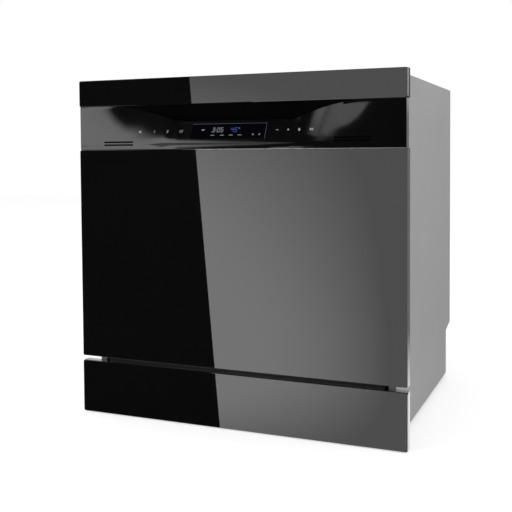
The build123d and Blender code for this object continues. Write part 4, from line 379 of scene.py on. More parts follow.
@dataclass
class Palette:
    """Keeps one material for each finish.

    Attributes:
        made: The materials made so far, by the finish's title.
    """

    made: dict[str, bpy.types.Material] = field(default_factory=dict)

    def material(self, finish: Finish) -> bpy.types.Material:
        """Gives the material of a finish, and makes it the first time.

        Args:
            finish: The finish.

        Returns:
            Its material.
        """
        if finish.title not in self.made:
            self.made[finish.title] = finish.build()
        return self.made[finish.title]

    def dress_nodes(self) -> None:
        """Gives each solid of the frame its finish."""
        for finish, nodes in NODES_BY_FINISH:
            for node in nodes.split():
                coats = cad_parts[node].data.materials
                coats.clear()
                coats.append(self.material(finish))
            LOG.info("%s: %s", finish.title, nodes)


def rounded_rectangle(x0: float, x1: float, z0: float, z1: float, radius: float, steps: int = 5) -> Outline:
    """Outlines a rectangle with round corners.

    Args:
        x0: Left side.
        x1: Right side.
        z0: Lower side.
        z1: Upper side.
        radius: Radius of the corners.
        steps: Points on each corner, less one.

    Returns:
        The outline's points in order.
    """
    centres = ((x1 - radius, z1 - radius, 0.0), (x0 + radius, z1 - radius, 90.0),
               (x0 + radius, z0 + radius, 180.0), (x1 - radius, z0 + radius, 270.0))
    turns = [(x, z, math.radians(start + 90.0 * step / steps)) for x, z, start in centres
             for step in range(steps + 1)]
    return [(x + radius * math.cos(turn), z + radius * math.sin(turn)) for x, z, turn in turns]


@dataclass
class Shape:
    """Collects the points and faces of one piece, in metres.

    Attributes:
        points: The points.
        faces: The faces, as rows of point numbers.
    """

    points: list[Point] = field(default_factory=list)
    faces: list[tuple[int, ...]] = field(default_factory=list)

    def rings(self, rings: Sequence[Sequence[Point]], closed: bool = False) -> None:
        """Joins rings of the same number of points into a skin.

        Args:
            rings: The rings in order.
            closed: Whether the last ring joins the first; otherwise both are filled.
        """
        start = len(self.points)
        count = len(rings[0])
        for ring in rings:
            self.points.extend(ring)
        for row in range(len(rings) if closed else len(rings) - 1):
            low = start + row * count
            high = start + ((row + 1) % len(rings)) * count
            for step in range(count):
                after = (step + 1) % count
                self.faces.append((low + step, low + after, high + after, high + step))
        if not closed:
            for first in (start, start + (len(rings) - 1) * count):
                self.faces.append(tuple(range(first, first + count)))

    def plate(self, low: Vector, high: Vector, radius: float, bevel: float) -> None:
        """Adds an upright plate with round corners and bevelled rims.

        Args:
            low: Its low corner.
            high: Its high corner.
            radius: Radius of the corners.
            bevel: Width of the bevel.
        """
        rows = ((bevel, low.y), (bevel * 0.3, low.y + bevel * 0.3), (0.0, low.y + bevel),
                (0.0, high.y - bevel), (bevel, high.y))
        self.rings([[(x, y, z) for x, z in rounded_rectangle(low.x + inset, high.x - inset, low.z + inset,
                                                             high.z - inset, radius - inset)]
                    for inset, y in rows])

    def revolve(self, centre: Point, axis: Point, profile: Outline, sides: int) -> None:
        """Adds a turned form.

        Args:
            centre: The foot of the axis.
            axis: Direction of the axis.
            profile: Distance along the axis and radius, from one end to the other.
            sides: Points around it.
        """
        turn = Vector(axis).to_track_quat("Z", "Y").to_matrix()
        self.rings([[tuple(Vector(centre) + turn @ Vector((x, y, along))) for x, y in circle(radius, sides)]
                    for along, radius in profile])

    def mesh(self, title: str, smooth_angle: float) -> bpy.types.Mesh:
        """Turns the shape into a mesh with its faces outward.

        Args:
            title: Name of the mesh.
            smooth_angle: Edges sharper than this, in degrees, stay sharp.

        Returns:
            The mesh.
        """
        work = bmesh.new()
        corners = [work.verts.new(point) for point in self.points]
        for face in self.faces:
            work.faces.new([corners[number] for number in face])
        bmesh.ops.remove_doubles(work, verts=work.verts, dist=0.000001)
        bmesh.ops.recalc_face_normals(work, faces=work.faces)
        mesh = bpy.data.meshes.new(title)
        work.to_mesh(mesh)
        work.free()
        mesh.shade_smooth()
        mesh.set_sharp_from_angle(angle=math.radians(smooth_angle))
        return mesh


Design = Callable[[NodeBench, Sockets], Socket]


@dataclass
class Bench:
    """Places finished pieces on the bodies that carry them, and grows pieces with geometry nodes.

    Attributes:
        palette: The materials.
    """

    palette: Palette

    def place(self, mesh: bpy.types.Mesh, finish: Finish, body: str, nodes: Sequence[str] = ()) -> None:
        """Places one piece, named like its mesh.

        Args:
            mesh: Its mesh, in the frame's own place.
            finish: Its finish.
            body: The body that it rides on.
            nodes: The nodes that it replaces.
        """
        piece = bpy.data.objects.new(mesh.name, mesh)
        bpy.context.scene.collection.objects.link(piece)
        mesh.materials.clear()
        mesh.materials.append(self.palette.material(finish))
        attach(piece, body)
        if nodes:
            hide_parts(*nodes)
        LOG.info("%s on %s, %d faces", mesh.name, body, len(mesh.polygons))

    def form(self, title: str, shape: Shape, finish: Finish, body: str, nodes: Sequence[str] = (),
             smooth_angle: float = 35.0) -> bpy.types.Mesh:
        """Places a piece from its shape.

        Args:
            title: The piece's name.
            shape: Its shape, in the frame's own place.
            finish: Its finish.
            body: The body that it rides on.
            nodes: The nodes that it replaces.
            smooth_angle: Edges sharper than this, in degrees, stay sharp.

        Returns:
            Its mesh.
        """
        mesh = shape.mesh(title, smooth_angle)
        self.place(mesh, finish, body, nodes)
        return mesh

    def grow(self, title: str, points: Sequence[Point], edges: Sequence[tuple[int, int]], finish: Finish,
             values: dict[str, object], design: Design) -> bpy.types.Mesh:
        """Runs a new node tree over points and edges, and keeps the plain mesh.

        Args:
            title: Name of the new mesh.
            points: The points that it starts from.
            edges: Their edges.
            finish: The finish of what grows.
            values: The value of each named input of the tree.
            design: Adds the tree's own nodes, and gives what they grow.

        Returns:
            The mesh.
        """
        kinds = {float: "Float", tuple: "Vector", bpy.types.Object: "Object", bpy.types.Material: "Material"}
        tree = bpy.data.node_groups.new(title, "GeometryNodeTree")
        tree.interface.new_socket("Geometry", in_out="INPUT", socket_type="NodeSocketGeometry")
        tree.interface.new_socket("Geometry", in_out="OUTPUT", socket_type="NodeSocketGeometry")
        given = {}
        for name, value in {**values, "Material": self.palette.material(finish)}.items():
            kind = "NodeSocket" + kinds[type(value)]
            given[tree.interface.new_socket(name, in_out="INPUT", socket_type=kind).identifier] = value
        nodes = NodeBench(tree)
        source = nodes.add("NodeGroupInput", {}).outputs
        real = nodes.add("GeometryNodeRealizeInstances", {"Geometry": design(nodes, source)})
        smooth = nodes.add("GeometryNodeSetShadeSmooth", {"Geometry": real.outputs[0]})
        paint = nodes.add("GeometryNodeSetMaterial", {"Geometry": smooth.outputs[0],
                                                      "Material": source["Material"]})
        nodes.add("NodeGroupOutput", {"Geometry": paint.outputs[0]})
        seed = bpy.data.meshes.new(title + "_seed")
        seed.from_pydata(points, edges, [])
        carrier = bpy.data.objects.new(title + "_seed", seed)
        bpy.context.scene.collection.objects.link(carrier)
        modifier = carrier.modifiers.new("growth", "NODES")
        modifier.node_group = tree
        for identifier, value in given.items():
            modifier[identifier] = value
        bpy.context.view_layer.update()
        mesh = bpy.data.meshes.new_from_object(carrier.evaluated_get(bpy.context.evaluated_depsgraph_get()))
        mesh.name = title
        carrier.modifiers.remove(modifier)
        bpy.data.objects.remove(carrier)
        return mesh

    def wires(self, title: str, lines: Sequence[Sequence[Point]], radius: float, bend: float, body: str,
              nodes: Sequence[str] = ()) -> None:
        """Bends coated round wires along straight runs.

        Args:
            title: The piece's name.
            lines: The wires' corners; a wire that ends at its first corner is closed.
            radius: The wire's radius.
            bend: Radius of its bends.
            body: The body that the wires ride on.
            nodes: The nodes that they replace.
        """
        def design(tree: NodeBench, source: Sockets) -> Socket:
            """Rounds the bends and wraps the wires.

            Args:
                tree: The bench of the tree.
                source: The tree's inputs.

            Returns:
                The wires.
            """
            curve = tree.add("GeometryNodeMeshToCurve", {"Mesh": source["Geometry"]})
            bent = tree.add("GeometryNodeFilletCurve", {
                "Curve": curve.outputs[0], "Radius": source["Bend radius"], "Count": 4, "Limit Radius": True},
                mode="POLY")
            return tree.skin(bent.outputs[0], source["Wire radius"], 8)

        points: list[Point] = []
        edges: list[tuple[int, int]] = []
        for line in lines:
            start = len(points)
            closed = line[0] == line[-1]
            corners = line[:-1] if closed else line
            points.extend(corners)
            edges += [(start + step, start + step + 1) for step in range(len(corners) - 1)]
            if closed:
                edges.append((start + len(corners) - 1, start))
        self.place(self.grow(title, points, edges, RACK_COATING, {"Wire radius": radius, "Bend radius": bend},
                             design), RACK_COATING, body, nodes)

    def coil(self, title: str, start: Vector, end: Vector, radius: float, wire: float, pitch: float,
             body: str, nodes: Sequence[str]) -> None:
        """Winds a zinc coil spring between two points.

        Args:
            title: The piece's name.
            start: Its first end.
            end: Its last end.
            radius: Outer radius of the coil.
            wire: Radius of its wire.
            pitch: Length of one turn.
            body: The body that it rides on.
            nodes: The nodes that it replaces.
        """
        def design(tree: NodeBench, source: Sockets) -> Socket:
            """Winds the wire and lays the coil along its run.

            Args:
                tree: The bench of the tree.
                source: The tree's inputs.

            Returns:
                The coil.
            """
            spiral = tree.add("GeometryNodeCurveSpiral", {
                "Resolution": 12, "Rotations": source["Turns"], "Start Radius": source["Radius"],
                "End Radius": source["Radius"], "Height": source["Length"]})
            skin = tree.skin(spiral.outputs[0], source["Wire radius"], 6)
            return tree.add("GeometryNodeTransform", {
                "Geometry": skin, "Rotation": source["Turn"], "Translation": source["Place"]}).outputs[0]

        run = end - start
        values = {"Turns": run.length / pitch, "Radius": radius - wire, "Length": run.length,
                  "Wire radius": wire, "Turn": tuple(run.to_track_quat("Z", "X").to_euler()),
                  "Place": tuple(start)}
        self.place(self.grow(title, [tuple(start)], [], ZINC, values, design), ZINC, body, nodes)

    def repeats(self, title: str, pattern: Shape, places: Sequence[Point], finish: Finish, body: str) -> None:
        """Sets copies of one small shape at many places.

        Args:
            title: The piece's name.
            pattern: The small shape, about its own origin.
            places: Where the copies go.
            finish: Their finish.
            body: The body that they ride on.
        """
        def design(tree: NodeBench, source: Sockets) -> Socket:
            """Puts the pattern on each point.

            Args:
                tree: The bench of the tree.
                source: The tree's inputs.

            Returns:
                The copies.
            """
            spots = tree.add("GeometryNodeMeshToPoints", {"Mesh": source["Geometry"]})
            info = tree.add("GeometryNodeObjectInfo", {"Object": source["Pattern"]})
            return tree.add("GeometryNodeInstanceOnPoints", {
                "Points": spots.outputs[0], "Instance": info.outputs["Geometry"]}).outputs[0]

        model = bpy.data.objects.new(title + "_pattern", pattern.mesh(title + "_pattern", 35.0))
        bpy.context.scene.collection.objects.link(model)
        mesh = self.grow(title, places, [], finish, {"Pattern": model}, design)
        bpy.data.objects.remove(model)
        self.place(mesh, finish, body)


@dataclass(frozen=True)
class PhotoCamera:
    """The camera that took the photograph, as measured from the front's corners.

    Attributes:
        place: Where it stands.
        yaw: Turn to the left from straight ahead, in degrees.
        pitch: Tilt downward, in degrees.
        roll: Turn about the line of sight, in degrees.
        lens: Focal length for a sensor of 36 mm.
        shift: Shift of the lens, right and up.
    """

    place: Vector = Vector((0.5735, -1.4584, 0.4656))
    yaw: float = 21.342
    pitch: float = 2.376
    roll: float = -0.32
    lens: float = 56.62
    shift: Pair = (-0.0623, -0.1363)

    def axes(self) -> tuple[Vector, Vector, Vector]:
        """Gives the directions in which the camera looks.

        Returns:
            Its right, up and forward directions.
        """
        yaw, pitch, roll = (math.radians(turn) for turn in (self.yaw, self.pitch, self.roll))
        level = Vector((math.cos(yaw), math.sin(yaw), 0.0))
        forward = UP.cross(level) * math.cos(pitch) - UP * math.sin(pitch)
        right = level * math.cos(roll) + level.cross(forward) * math.sin(roll)
        return right, right.cross(forward), forward

    def build(self) -> None:
        """Makes the camera and puts it in use."""
        lens = bpy.data.cameras.new("photo_camera")
        lens.lens = self.lens
        lens.sensor_width = 36.0
        lens.shift_x, lens.shift_y = self.shift
        lens.clip_start = 0.01
        camera = bpy.data.objects.new("photo_camera", lens)
        right, upright, forward = self.axes()
        turn = Matrix((right, upright, -forward)).transposed()
        camera.matrix_world = Matrix.Translation(self.place) @ turn.to_4x4()
        bpy.context.scene.collection.objects.link(camera)
        bpy.context.scene.camera = camera


def glowing(title: str, strength: Design) -> bpy.types.Material:
    """Makes the material of a glowing card.

    Args:
        title: Its name.
        strength: Adds the nodes that give the strength at each place of the card.

    Returns:
        The material.
    """
    material = bpy.data.materials.new(title)
    material.use_nodes = True
    bench = NodeBench(material.node_tree)
    bench.tree.nodes.clear()
    light = bench.add("ShaderNodeEmission", {"Strength": strength(bench, bench.axes())})
    bench.add("ShaderNodeOutputMaterial", {"Surface": light.outputs[0]})
    return material


def fading(title: str, left: Pair, right: Pair, low: Pair, high: Pair, least: float) -> bpy.types.Material:
    """Makes a glowing card whose strength is one fade across times one fade up, plus a least strength.

    Args:
        title: The material's name.
        left: A place across and the share there.
        right: Another place across and the share there.
        low: A height and the strength there.
        high: Another height and the strength there.
        least: The strength that is always there.

    Returns:
        The material.
    """
    return glowing(title, lambda bench, axes: bench.math(
        "MULTIPLY_ADD", bench.ramp(axes["X"], left, right), bench.ramp(axes["Z"], low, high), least))


@dataclass
class Studio:
    """A pale floor, soft lights, and the cards that the glass front and the front's right edge reflect.

    Attributes:
        camera: The camera, which the cards' places are worked out from.
        card_distance: How far the cards stand in front of the glass.
        back_distance: Y of the cards behind the object.
        floor_half: Half the floor's side.
        floor_lift: What the floor gives off to the camera alone.
        soft_world: The world's strength for all but the camera and what shines through glass.
        border: Two points of the line between the dark and the lit half of the glass, across and up.
        skirt_top: Height on the glass where the door's reflection ends and the skirt's starts.
        margin: How far the dark cards reach past the front's ends.
        fan_reach: Width on the glass over which the light levels off.
        fan_start: Share of that width that stays dim.
        fan_gain: Strength that the fan adds.
        fan_least: Strength of the lit cards beside the front's right edge.
    """

    camera: PhotoCamera
    card_distance: float = 0.8
    back_distance: float = 1.2
    floor_half: float = 6.0
    floor_lift: float = 0.4
    soft_world: float = 0.64
    border: tuple[Pair, Pair] = ((-0.0761, 0.60), (-0.0243, 0.0))
    skirt_top: float = 0.098
    margin: float = 0.006
    fan_reach: float = 0.265
    fan_start: float = 0.117
    fan_gain: float = 2.13
    fan_least: float = 1.64

    def quad(self, title: str, corners: Sequence[Point], material: bpy.types.Material) -> bpy.types.Object:
        """Places one flat stage piece.

        Args:
            title: Its name.
            corners: Its corners in order.
            material: Its material.

        Returns:
            The stage piece.
        """
        mesh = bpy.data.meshes.new(title)
        mesh.from_pydata(corners, [], [tuple(range(len(corners)))])
        mesh.materials.append(material)
        piece = bpy.data.objects.new(title, mesh)
        bpy.context.scene.collection.objects.link(piece)
        return piece

    def card(self, title: str, left: Pair, right: Pair, low: float, high: float, y: float,
             material: bpy.types.Material) -> None:
        """Stands one card that only reflections see.

        Args:
            title: Its name.
            left: Where its left side is, at the foot and at the top.
            right: Where its right side is, at the foot and at the top.
            low: Height of its foot.
            high: Height of its top.
            y: Where it stands.
            material: Its material.
        """
        card = self.quad(title, ((left[0], y, low), (right[0], y, low), (right[1], y, high),
                                 (left[1], y, high)), material)
        card.visible_camera = False
        card.visible_diffuse = False
        card.visible_transmission = False
        card.visible_shadow = False

    def floor(self) -> None:
        """Lays the floor, which is white to the camera and keeps the shadow."""
        material, bench, shader = principled("studio floor", {
            "Base Color": (0.9, 0.9, 0.9, 1.0), "Roughness": 1.0, "Specular IOR Level": 0.0,
            "Emission Color": WHITE})
        seen = bench.add("ShaderNodeLightPath", {}).outputs["Is Camera Ray"]
        bench.feed(shader, {"Emission Strength": bench.product(seen, self.floor_lift)})
        half = self.floor_half
        floor = self.quad("studio_floor", ((-half, -half, 0.0), (half, -half, 0.0), (half, half, 0.0),
                                           (-half, half, 0.0)), material)
        floor.visible_glossy = False

    def world(self) -> None:
        """Sets a plain world: white to the camera and through glass, soft grey to mirrors and for light."""
        world = bpy.data.worlds.new("studio")
        bpy.context.scene.world = world
        world.use_nodes = True
        bench = NodeBench(world.node_tree)
        bench.tree.nodes.clear()
        rays = bench.add("ShaderNodeLightPath", {}).outputs
        seen = bench.math("MAXIMUM", rays["Is Camera Ray"], rays["Is Transmission Ray"])
        light = bench.add("ShaderNodeBackground", {
            "Color": WHITE, "Strength": bench.ramp(seen, (0.0, self.soft_world), (1.0, 1.0))})
        bench.add("ShaderNodeOutputWorld", {"Surface": light.outputs[0]})

    def softbox(self, title: str, place: Point, size: float, power: float) -> None:
        """Hangs one soft square light that looks at the object.

        Args:
            title: Its name.
            place: Where it hangs.
            size: Its side.
            power: Its power in watts.
        """
        light = bpy.data.lights.new(title, "AREA")
        light.size = size
        light.energy = power
        lamp = bpy.data.objects.new(title, light)
        spot = Vector(place)
        turn = (Vector((0.0, 0.0, 0.3)) - spot).to_track_quat("-Z", "Y")
        lamp.matrix_world = Matrix.Translation(spot) @ turn.to_matrix().to_4x4()
        bpy.context.scene.collection.objects.link(lamp)
        lamp.visible_glossy = False

    def beyond(self, start: float, value: float, distance: float) -> float:
        """Carries a measure on the front away from the camera's own one, as a mirrored ray does."""
        return value + (value - start) * distance / (FRONT - self.camera.place.y)

    def card_x(self, x: float) -> float:
        """Gives where on the cards a place across the glass reflects to the camera."""
        return self.beyond(self.camera.place.x, x, self.card_distance)

    def card_z(self, z: float) -> float:
        """Gives the height on the cards that a height on the glass reflects to the camera."""
        return self.beyond(self.camera.place.z, z, self.card_distance)

    def edge_z(self, z: float) -> float:
        """Gives the height behind the object that the front's right edge reflects from a height."""
        return self.beyond(self.camera.place.z, z, self.back_distance - FRONT)

    def fan(self, title: str, low: Pair, high: Pair) -> bpy.types.Material:
        """Makes a lit card: a fan of light from the front's right edge, which levels off.

        Args:
            title: The material's name.
            low: A height on the glass and how fast the light grows there.
            high: Another height on the glass and how fast the light grows there.

        Returns:
            The material.
        """
        def strength(bench: NodeBench, axes: Sockets) -> Socket:
            """Spreads the light.

            Args:
                bench: The bench of the material's nodes.
                axes: The coordinates on the card.

            Returns:
                The strength at each place.
            """
            across = bench.ramp(axes["X"], (self.card_x(HALF_FRONT - 2.0 * self.fan_reach), 2.0),
                                (self.card_x(HALF_FRONT), 0.0))
            growth = bench.ramp(axes["Z"], (self.card_z(low[0]), low[1]), (self.card_z(high[0]), high[1]))
            rise = bench.ramp(bench.product(across, growth), (self.fan_start, 0.0), (1.0, 1.0))
            return bench.math("MULTIPLY_ADD", bench.product(rise, bench.math("SUBTRACT", 2.0, rise)),
                              self.fan_gain, self.fan_least)
        return glowing(title, strength)

    def cards(self) -> None:
        """Stands lit and dark cards in front of the glass, for its gloss and the fascia's."""
        (top_x, top_z), (foot_x, foot_z) = ((self.card_x(x), self.card_z(z)) for x, z in self.border)
        slant = (top_x - foot_x) / (top_z - foot_z)
        low, split, high, side_high, sky = foot_z - 0.05, self.card_z(self.skirt_top), top_z + 0.012, 1.7, 2.4
        spot_low, spot_high = high + 0.02, high + 0.17
        edge, side = self.card_x(HALF_FRONT + self.margin), self.card_x(-HALF_FRONT - self.margin)
        foot_line, split_line, high_line = (foot_x + slant * (z - foot_z) for z in (low, split, high))
        skirt_border, glass_border = (foot_line, split_line), (split_line, high_line)
        far_left, left, spot_left, spot_right, right, far_right = (
            (x, x) for x in (side - 0.9, side, -0.27, 0.14, edge, edge + 1.2))
        dark = principled("dark card", {"Base Color": (0.0, 0.0, 0.0, 1.0), "Specular IOR Level": 0.0})[0]
        lit = self.fan("lit card", (0.168, 1.0), (0.589, 0.1))
        lit_foot = self.fan("lit foot card", (0.0, 0.31), (0.094, 0.98))
        pale = fading("side card", (side, 0.0), (side - 0.22, 1.0), (low, 2.6), (high, 2.6), 0.0)
        spot = fading("spot card", (-0.2, 1.0), (0.14, 0.2), (high, 3.4), (spot_high, 0.6), 0.0)
        for title, start, end, foot, top, material in (
                ("lit_card", glass_border, right, split, high, lit),
                ("foot_card", skirt_border, right, low, split, lit_foot),
                ("side_card", far_left, left, low, side_high, pale),
                ("dark_card", left, glass_border, split, high, dark),
                ("dark_foot", left, skirt_border, low, split, dark),
                ("right_card", right, far_right, low, high, dark),
                ("low_card", left, far_right, high, spot_low, dark),
                ("beside_left", left, spot_left, spot_low, spot_high, dark),
                ("beside_right", spot_right, far_right, spot_low, spot_high, dark),
                ("spot_card", spot_left, spot_right, spot_low, spot_high, spot),
                ("high_card", left, far_right, spot_high, sky, dark)):
            self.card(title, start, end, foot, top, FRONT - self.card_distance, material)

    def edge_cards(self) -> None:
        """Stands a bright low card and a dimmer high one behind the object, for the front's right edge."""
        low, lit, dim, middle, fade, pale, high = (
            self.edge_z(z) for z in (-0.1, 0.085, 0.185, 0.4, 0.52, 0.6, 0.7))
        left, right, least = 0.3, 1.1, 0.18
        level = ((left, 1.0), (right, 1.0))
        for title, foot, top, material in (
                ("ground_card", low, middle, fading("ground card", *level, (lit, 0.92), (dim, 0.0), least)),
                ("sky_card", middle, high, fading("sky card", *level, (fade, 0.0), (pale, 0.6), least))):
            self.card(title, (left, left), (right, right), foot, top, self.back_distance, material)

    def build(self) -> None:
        """Sets up the whole studio."""
        self.floor()
        self.world()
        self.cards()
        self.edge_cards()
        self.softbox("soft_left", (-2.2, -2.4, 2.6), 1.6, 42.0)
        self.softbox("soft_right", (2.8, -0.6, 2.0), 1.6, 26.0)
        bpy.context.scene.view_settings.view_transform = "Standard"


@dataclass
class Assembly:
    """A sub-assembly of the object.

    Attributes:
        bench: Places and grows its pieces.
    """

    bench: Bench


@dataclass
class FrontGlass(Assembly):
    """The three glass panels of the front, with ground bevels; the door pane's left and right sides are
    metal, those of the strip and the skirt a pale grey that is painted highlight.

    Attributes:
        corner: Radius of the outer corners.
        bevel: Width of the ground edge.
    """

    corner: float = 0.003
    bevel: float = 0.0006

    def build(self) -> None:
        """Makes the door glass, the top strip and the skirt glass."""
        for title, node, body, edge in (("door_pane", "door_glass", "door", EDGE_METAL),
                                        ("strip_pane", "top_strip_glass", "door", EDGE_PAINTED_HIGHLIGHT),
                                        ("skirt_pane", "plinth_glass", "cabinet", EDGE_PAINTED_HIGHLIGHT)):
            shape = Shape()
            shape.plate(*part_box(node), self.corner, self.bevel)
            pane = self.bench.form(title, shape, BLACK_GLASS, body, (node,), 20.0)
            pane.materials.append(self.bench.palette.material(edge))
            # Left and right side faces take the edge finish; on the strip and the skirt that is a pale grey
            # painted highlight.
            for face in pane.polygons:
                face.material_index = int(abs(face.normal.x) > 0.9)


FIGURES: dict[str, Sequence[Outline]] = {
    "0": (((0, 0), (1, 0), (1, 1), (0, 1), (0, 0)),),
    "1": (((0.5, 0), (0.5, 1), (0.2, 0.8)),),
    "2": (((0, 1), (1, 1), (1, 0.5), (0, 0.5), (0, 0), (1, 0)),),
    "3": (((0, 1), (1, 1), (1, 0), (0, 0)), ((0.2, 0.5), (1, 0.5))),
    "4": (((0, 1), (0, 0.5), (1, 0.5)), ((1, 1), (1, 0))),
    "5": (((1, 1), (0, 1), (0, 0.5), (1, 0.5), (1, 0), (0, 0)),),
    ":": (((0.5, 0.28), (0.5, 0.38)), ((0.5, 0.62), (0.5, 0.72))),
    "°": (((0, 1), (1, 1), (1, 0.72), (0, 0.72), (0, 1)),),
}


@dataclass
class ControlFascia(Assembly):
    """The glossy moulding with its finger recess, two pairs of vents, symbols and the lit display.

    Attributes:
        camera: The photograph's camera, for what is placed by a pixel.
        half: Half its width.
        low: Its lower rim.
        slope_foot: Where the recess starts.
        slope_start: Height from which the rows of the face follow the ridge.
        slope: Depth for each unit of rise.
        strip: The strip's lower rim.
        ceiling: Top of the pocket behind the strip.
        ridge: Height of the ridge in the middle.
        flat: Where the ridge starts to rise towards the ends.
        reach: Where the ridge meets the strip.
        swell: How fast the recess grows from its ends.
        join: How softly the recess's ends join its middle.
        pocket: Depth of the pocket.
        back: Depth of the housing.
        rim: Depth of the moulding beside the housing.
        housing: Half the width of the housing behind the recess.
        window: Half the window's width, half its height and how deep it is set.
        window_at: The window's middle, across and up along the slope.
        vents: Left, right and middle height of each pair of vents.
        vent_pitch: Distance between the two slots.
        vent_half: Half a slot's height.
        vent_depth: Depth of a slot.
        hair: Half the width of the faces that stand between two depths.
        print_proud: How far the prints stand out.
        display_proud: How far the lit figures stand out.
        crown: How far the polish of the ends leans outward, from a start to a full width.
        crown_rest: Between which widths that lean comes and goes beside the strip.
        foot_lean: How far the polish leans to the left along the recess's foot.
        foot_span: Where that lean ends on the left and on the right.
        rim_lean: How far the polish leans upward along the lower rim.
        rim_span: Foot and top of what leans along the rim, and top of what leans along the foot.
    """

    camera: PhotoCamera
    half: float = 0.2956
    low: float = 0.4725
    slope_foot: float = 0.480
    slope_start: float = 0.4925
    slope: float = 14.0 / 32.0
    strip: float = 0.549
    ceiling: float = 0.5615
    ridge: float = 0.521
    flat: float = 0.100
    reach: float = 0.240
    swell: float = 1.15
    join: float = 0.1
    pocket: float = 0.038
    back: float = 0.0405
    rim: float = 0.0155
    housing: float = 0.228
    window: Point = (0.0685, 0.014, 0.0004)
    window_at: Pair = (-0.009, 0.0245)
    vents: tuple[Point, ...] = ((-0.246, -0.1875, 0.4832), (0.180, 0.240, 0.487))
    vent_pitch: float = 0.005
    vent_half: float = 0.0013
    vent_depth: float = 0.004
    hair: float = 0.00006
    print_proud: float = 0.00012
    display_proud: float = 0.0003
    crown: Point = (0.18, 0.10, 0.13)
    crown_rest: Point = (0.17, 0.20, 0.30)
    foot_lean: float = 0.15
    foot_span: tuple[Pair, Pair] = ((-0.16, -0.11), (0.05, 0.12))
    rim_lean: float = 0.3
    rim_span: Point = (0.4815, 0.484, 0.4925)

    def share(self, x: float) -> float:
        """Gives how much of the recess there is at one place across.

        Args:
            x: The place across.

        Returns:
            The share, from 0 beyond the recess to 1 in its middle.
        """
        full = self.swell * max(0.0, (self.reach - abs(x)) / (self.reach - self.flat)) ** 2
        eased = (full + 1.0 - math.hypot(full - 1.0, self.join)) / 2.0 + self.join ** 2 / 4.0
        return min(1.0, max(0.0, eased))

    def ridge_at(self, x: float) -> float:
        """Gives the ridge's height at one place across."""
        return self.strip - self.share(x) * (self.strip - self.ridge)

    def in_vent(self, x: float, z: float) -> bool:
        """Tells whether a point of the face lies in one of the slots."""
        return any(left < x < right and abs(abs(z - middle) - self.vent_pitch / 2.0) < self.vent_half
                   for left, right, middle in self.vents)

    def heights(self) -> list[float]:
        """Gives the rows of the face that lie at one height all along.

        Returns:
            Their heights, from the lowest up.
        """
        rows = [self.low + 0.002, self.low + 0.0045, self.slope_start]
        rows += [self.slope_foot + step * MM for step in (-2, -1, 0, 1, 2)]
        rows += [middle + side * self.vent_pitch / 2.0 + rim * self.vent_half + step * self.hair
                 for _, _, middle in self.vents for side in SIDES for rim in SIDES for step in SIDES]
        return sorted(rows)

    def depth(self, z: float) -> float:
        """Gives the depth of the full recess, which has a rounded foot.

        Args:
            z: The height.

        Returns:
            The depth behind the front's plane.
        """
        over, ease = z - self.slope_foot, 0.002
        if over < ease:
            return self.slope * max(0.0, over + ease) ** 2 / (4.0 * ease)
        return self.slope * over

    def profile(self, x: float) -> list[Point]:
        """Gives the closed section of the moulding at one place across.

        Args:
            x: The place across.

        Returns:
            The section's points, from the lower rim up the face and down the back.
        """
        share, ridge, start, steps = self.share(x), self.ridge_at(x), self.slope_start, 9
        rows = [(0.002, self.low), (0.0006, self.low + 0.0006)]
        rows += [(share * self.depth(z) + self.vent_depth * self.in_vent(x, z), z) for z in self.heights()]
        for step in range(1, steps + 1):
            full, here = (start + (end - 0.001 - start) * step / steps for end in (self.ridge, ridge))
            rows.append((share * self.depth(full), here))
        top = rows[-1][0]
        pocket = max(top + 0.0013, share * self.pocket)
        open_top = self.strip + min(1.0, share * 12.0) * (self.ceiling - self.strip)
        back = (self.back if abs(x) < self.housing else self.rim) + 0.0001
        rows += [(top + 0.0006 + 0.001 * share, ridge - 0.0002), (top + 0.0012 + 0.004 * share, ridge),
                 (pocket, ridge + 0.0001), (pocket, open_top), (back, open_top), (back, self.low + 0.0045),
                 (self.rim, self.low + 0.0044), (self.rim, self.low)]
        return [(x, FRONT + depth, z) for depth, z in rows]

    def columns(self) -> list[float]:
        """Gives the places across at which the section is laid.

        Returns:
            The places, from the left.
        """
        places = {round(-self.half + 2.0 * self.half * step / 150, 6) for step in range(151)}
        places |= {edge + side * self.hair for vent in self.vents for edge in vent[:2] for side in SIDES}
        places |= {side * (self.housing + step * 0.00005) for side in SIDES for step in SIDES}
        return sorted(places)

    def face_depth(self, x: float, z: float) -> float:
        """Gives the depth of the moulding's face.

        Args:
            x: The place across.
            z: The height.

        Returns:
            The depth behind the front's plane.
        """
        start = self.slope_start
        full = z if z < start else start + (z - start) * (self.ridge - start) / (self.ridge_at(x) - start)
        return self.share(x) * self.depth(full)

    def shell(self) -> None:
        """Makes the moulding; its pocket and its slots are dull, its face polished, its ends metal."""
        shape = Shape()
        shape.rings([self.profile(x) for x in self.columns()])
        moulding = self.bench.form("fascia_moulding", shape, FASCIA_GLOSS, "door", ("control_fascia",), 40.0)
        for finish in (RECESS_BLACK, EDGE_METAL):
            moulding.materials.append(self.bench.palette.material(finish))
        for face in moulding.polygons:
            x, y, z = face.center
            beyond = y > FRONT + self.share(x) * self.depth(self.ridge) + 0.003
            in_slot = z < self.slope_start and y > FRONT + self.face_depth(x, z) + 0.0008
            dull = beyond or in_slot or z > self.ridge_at(x) + 0.00005
            face.material_index = 2 if abs(x) > self.half - 0.0001 else int(dull)

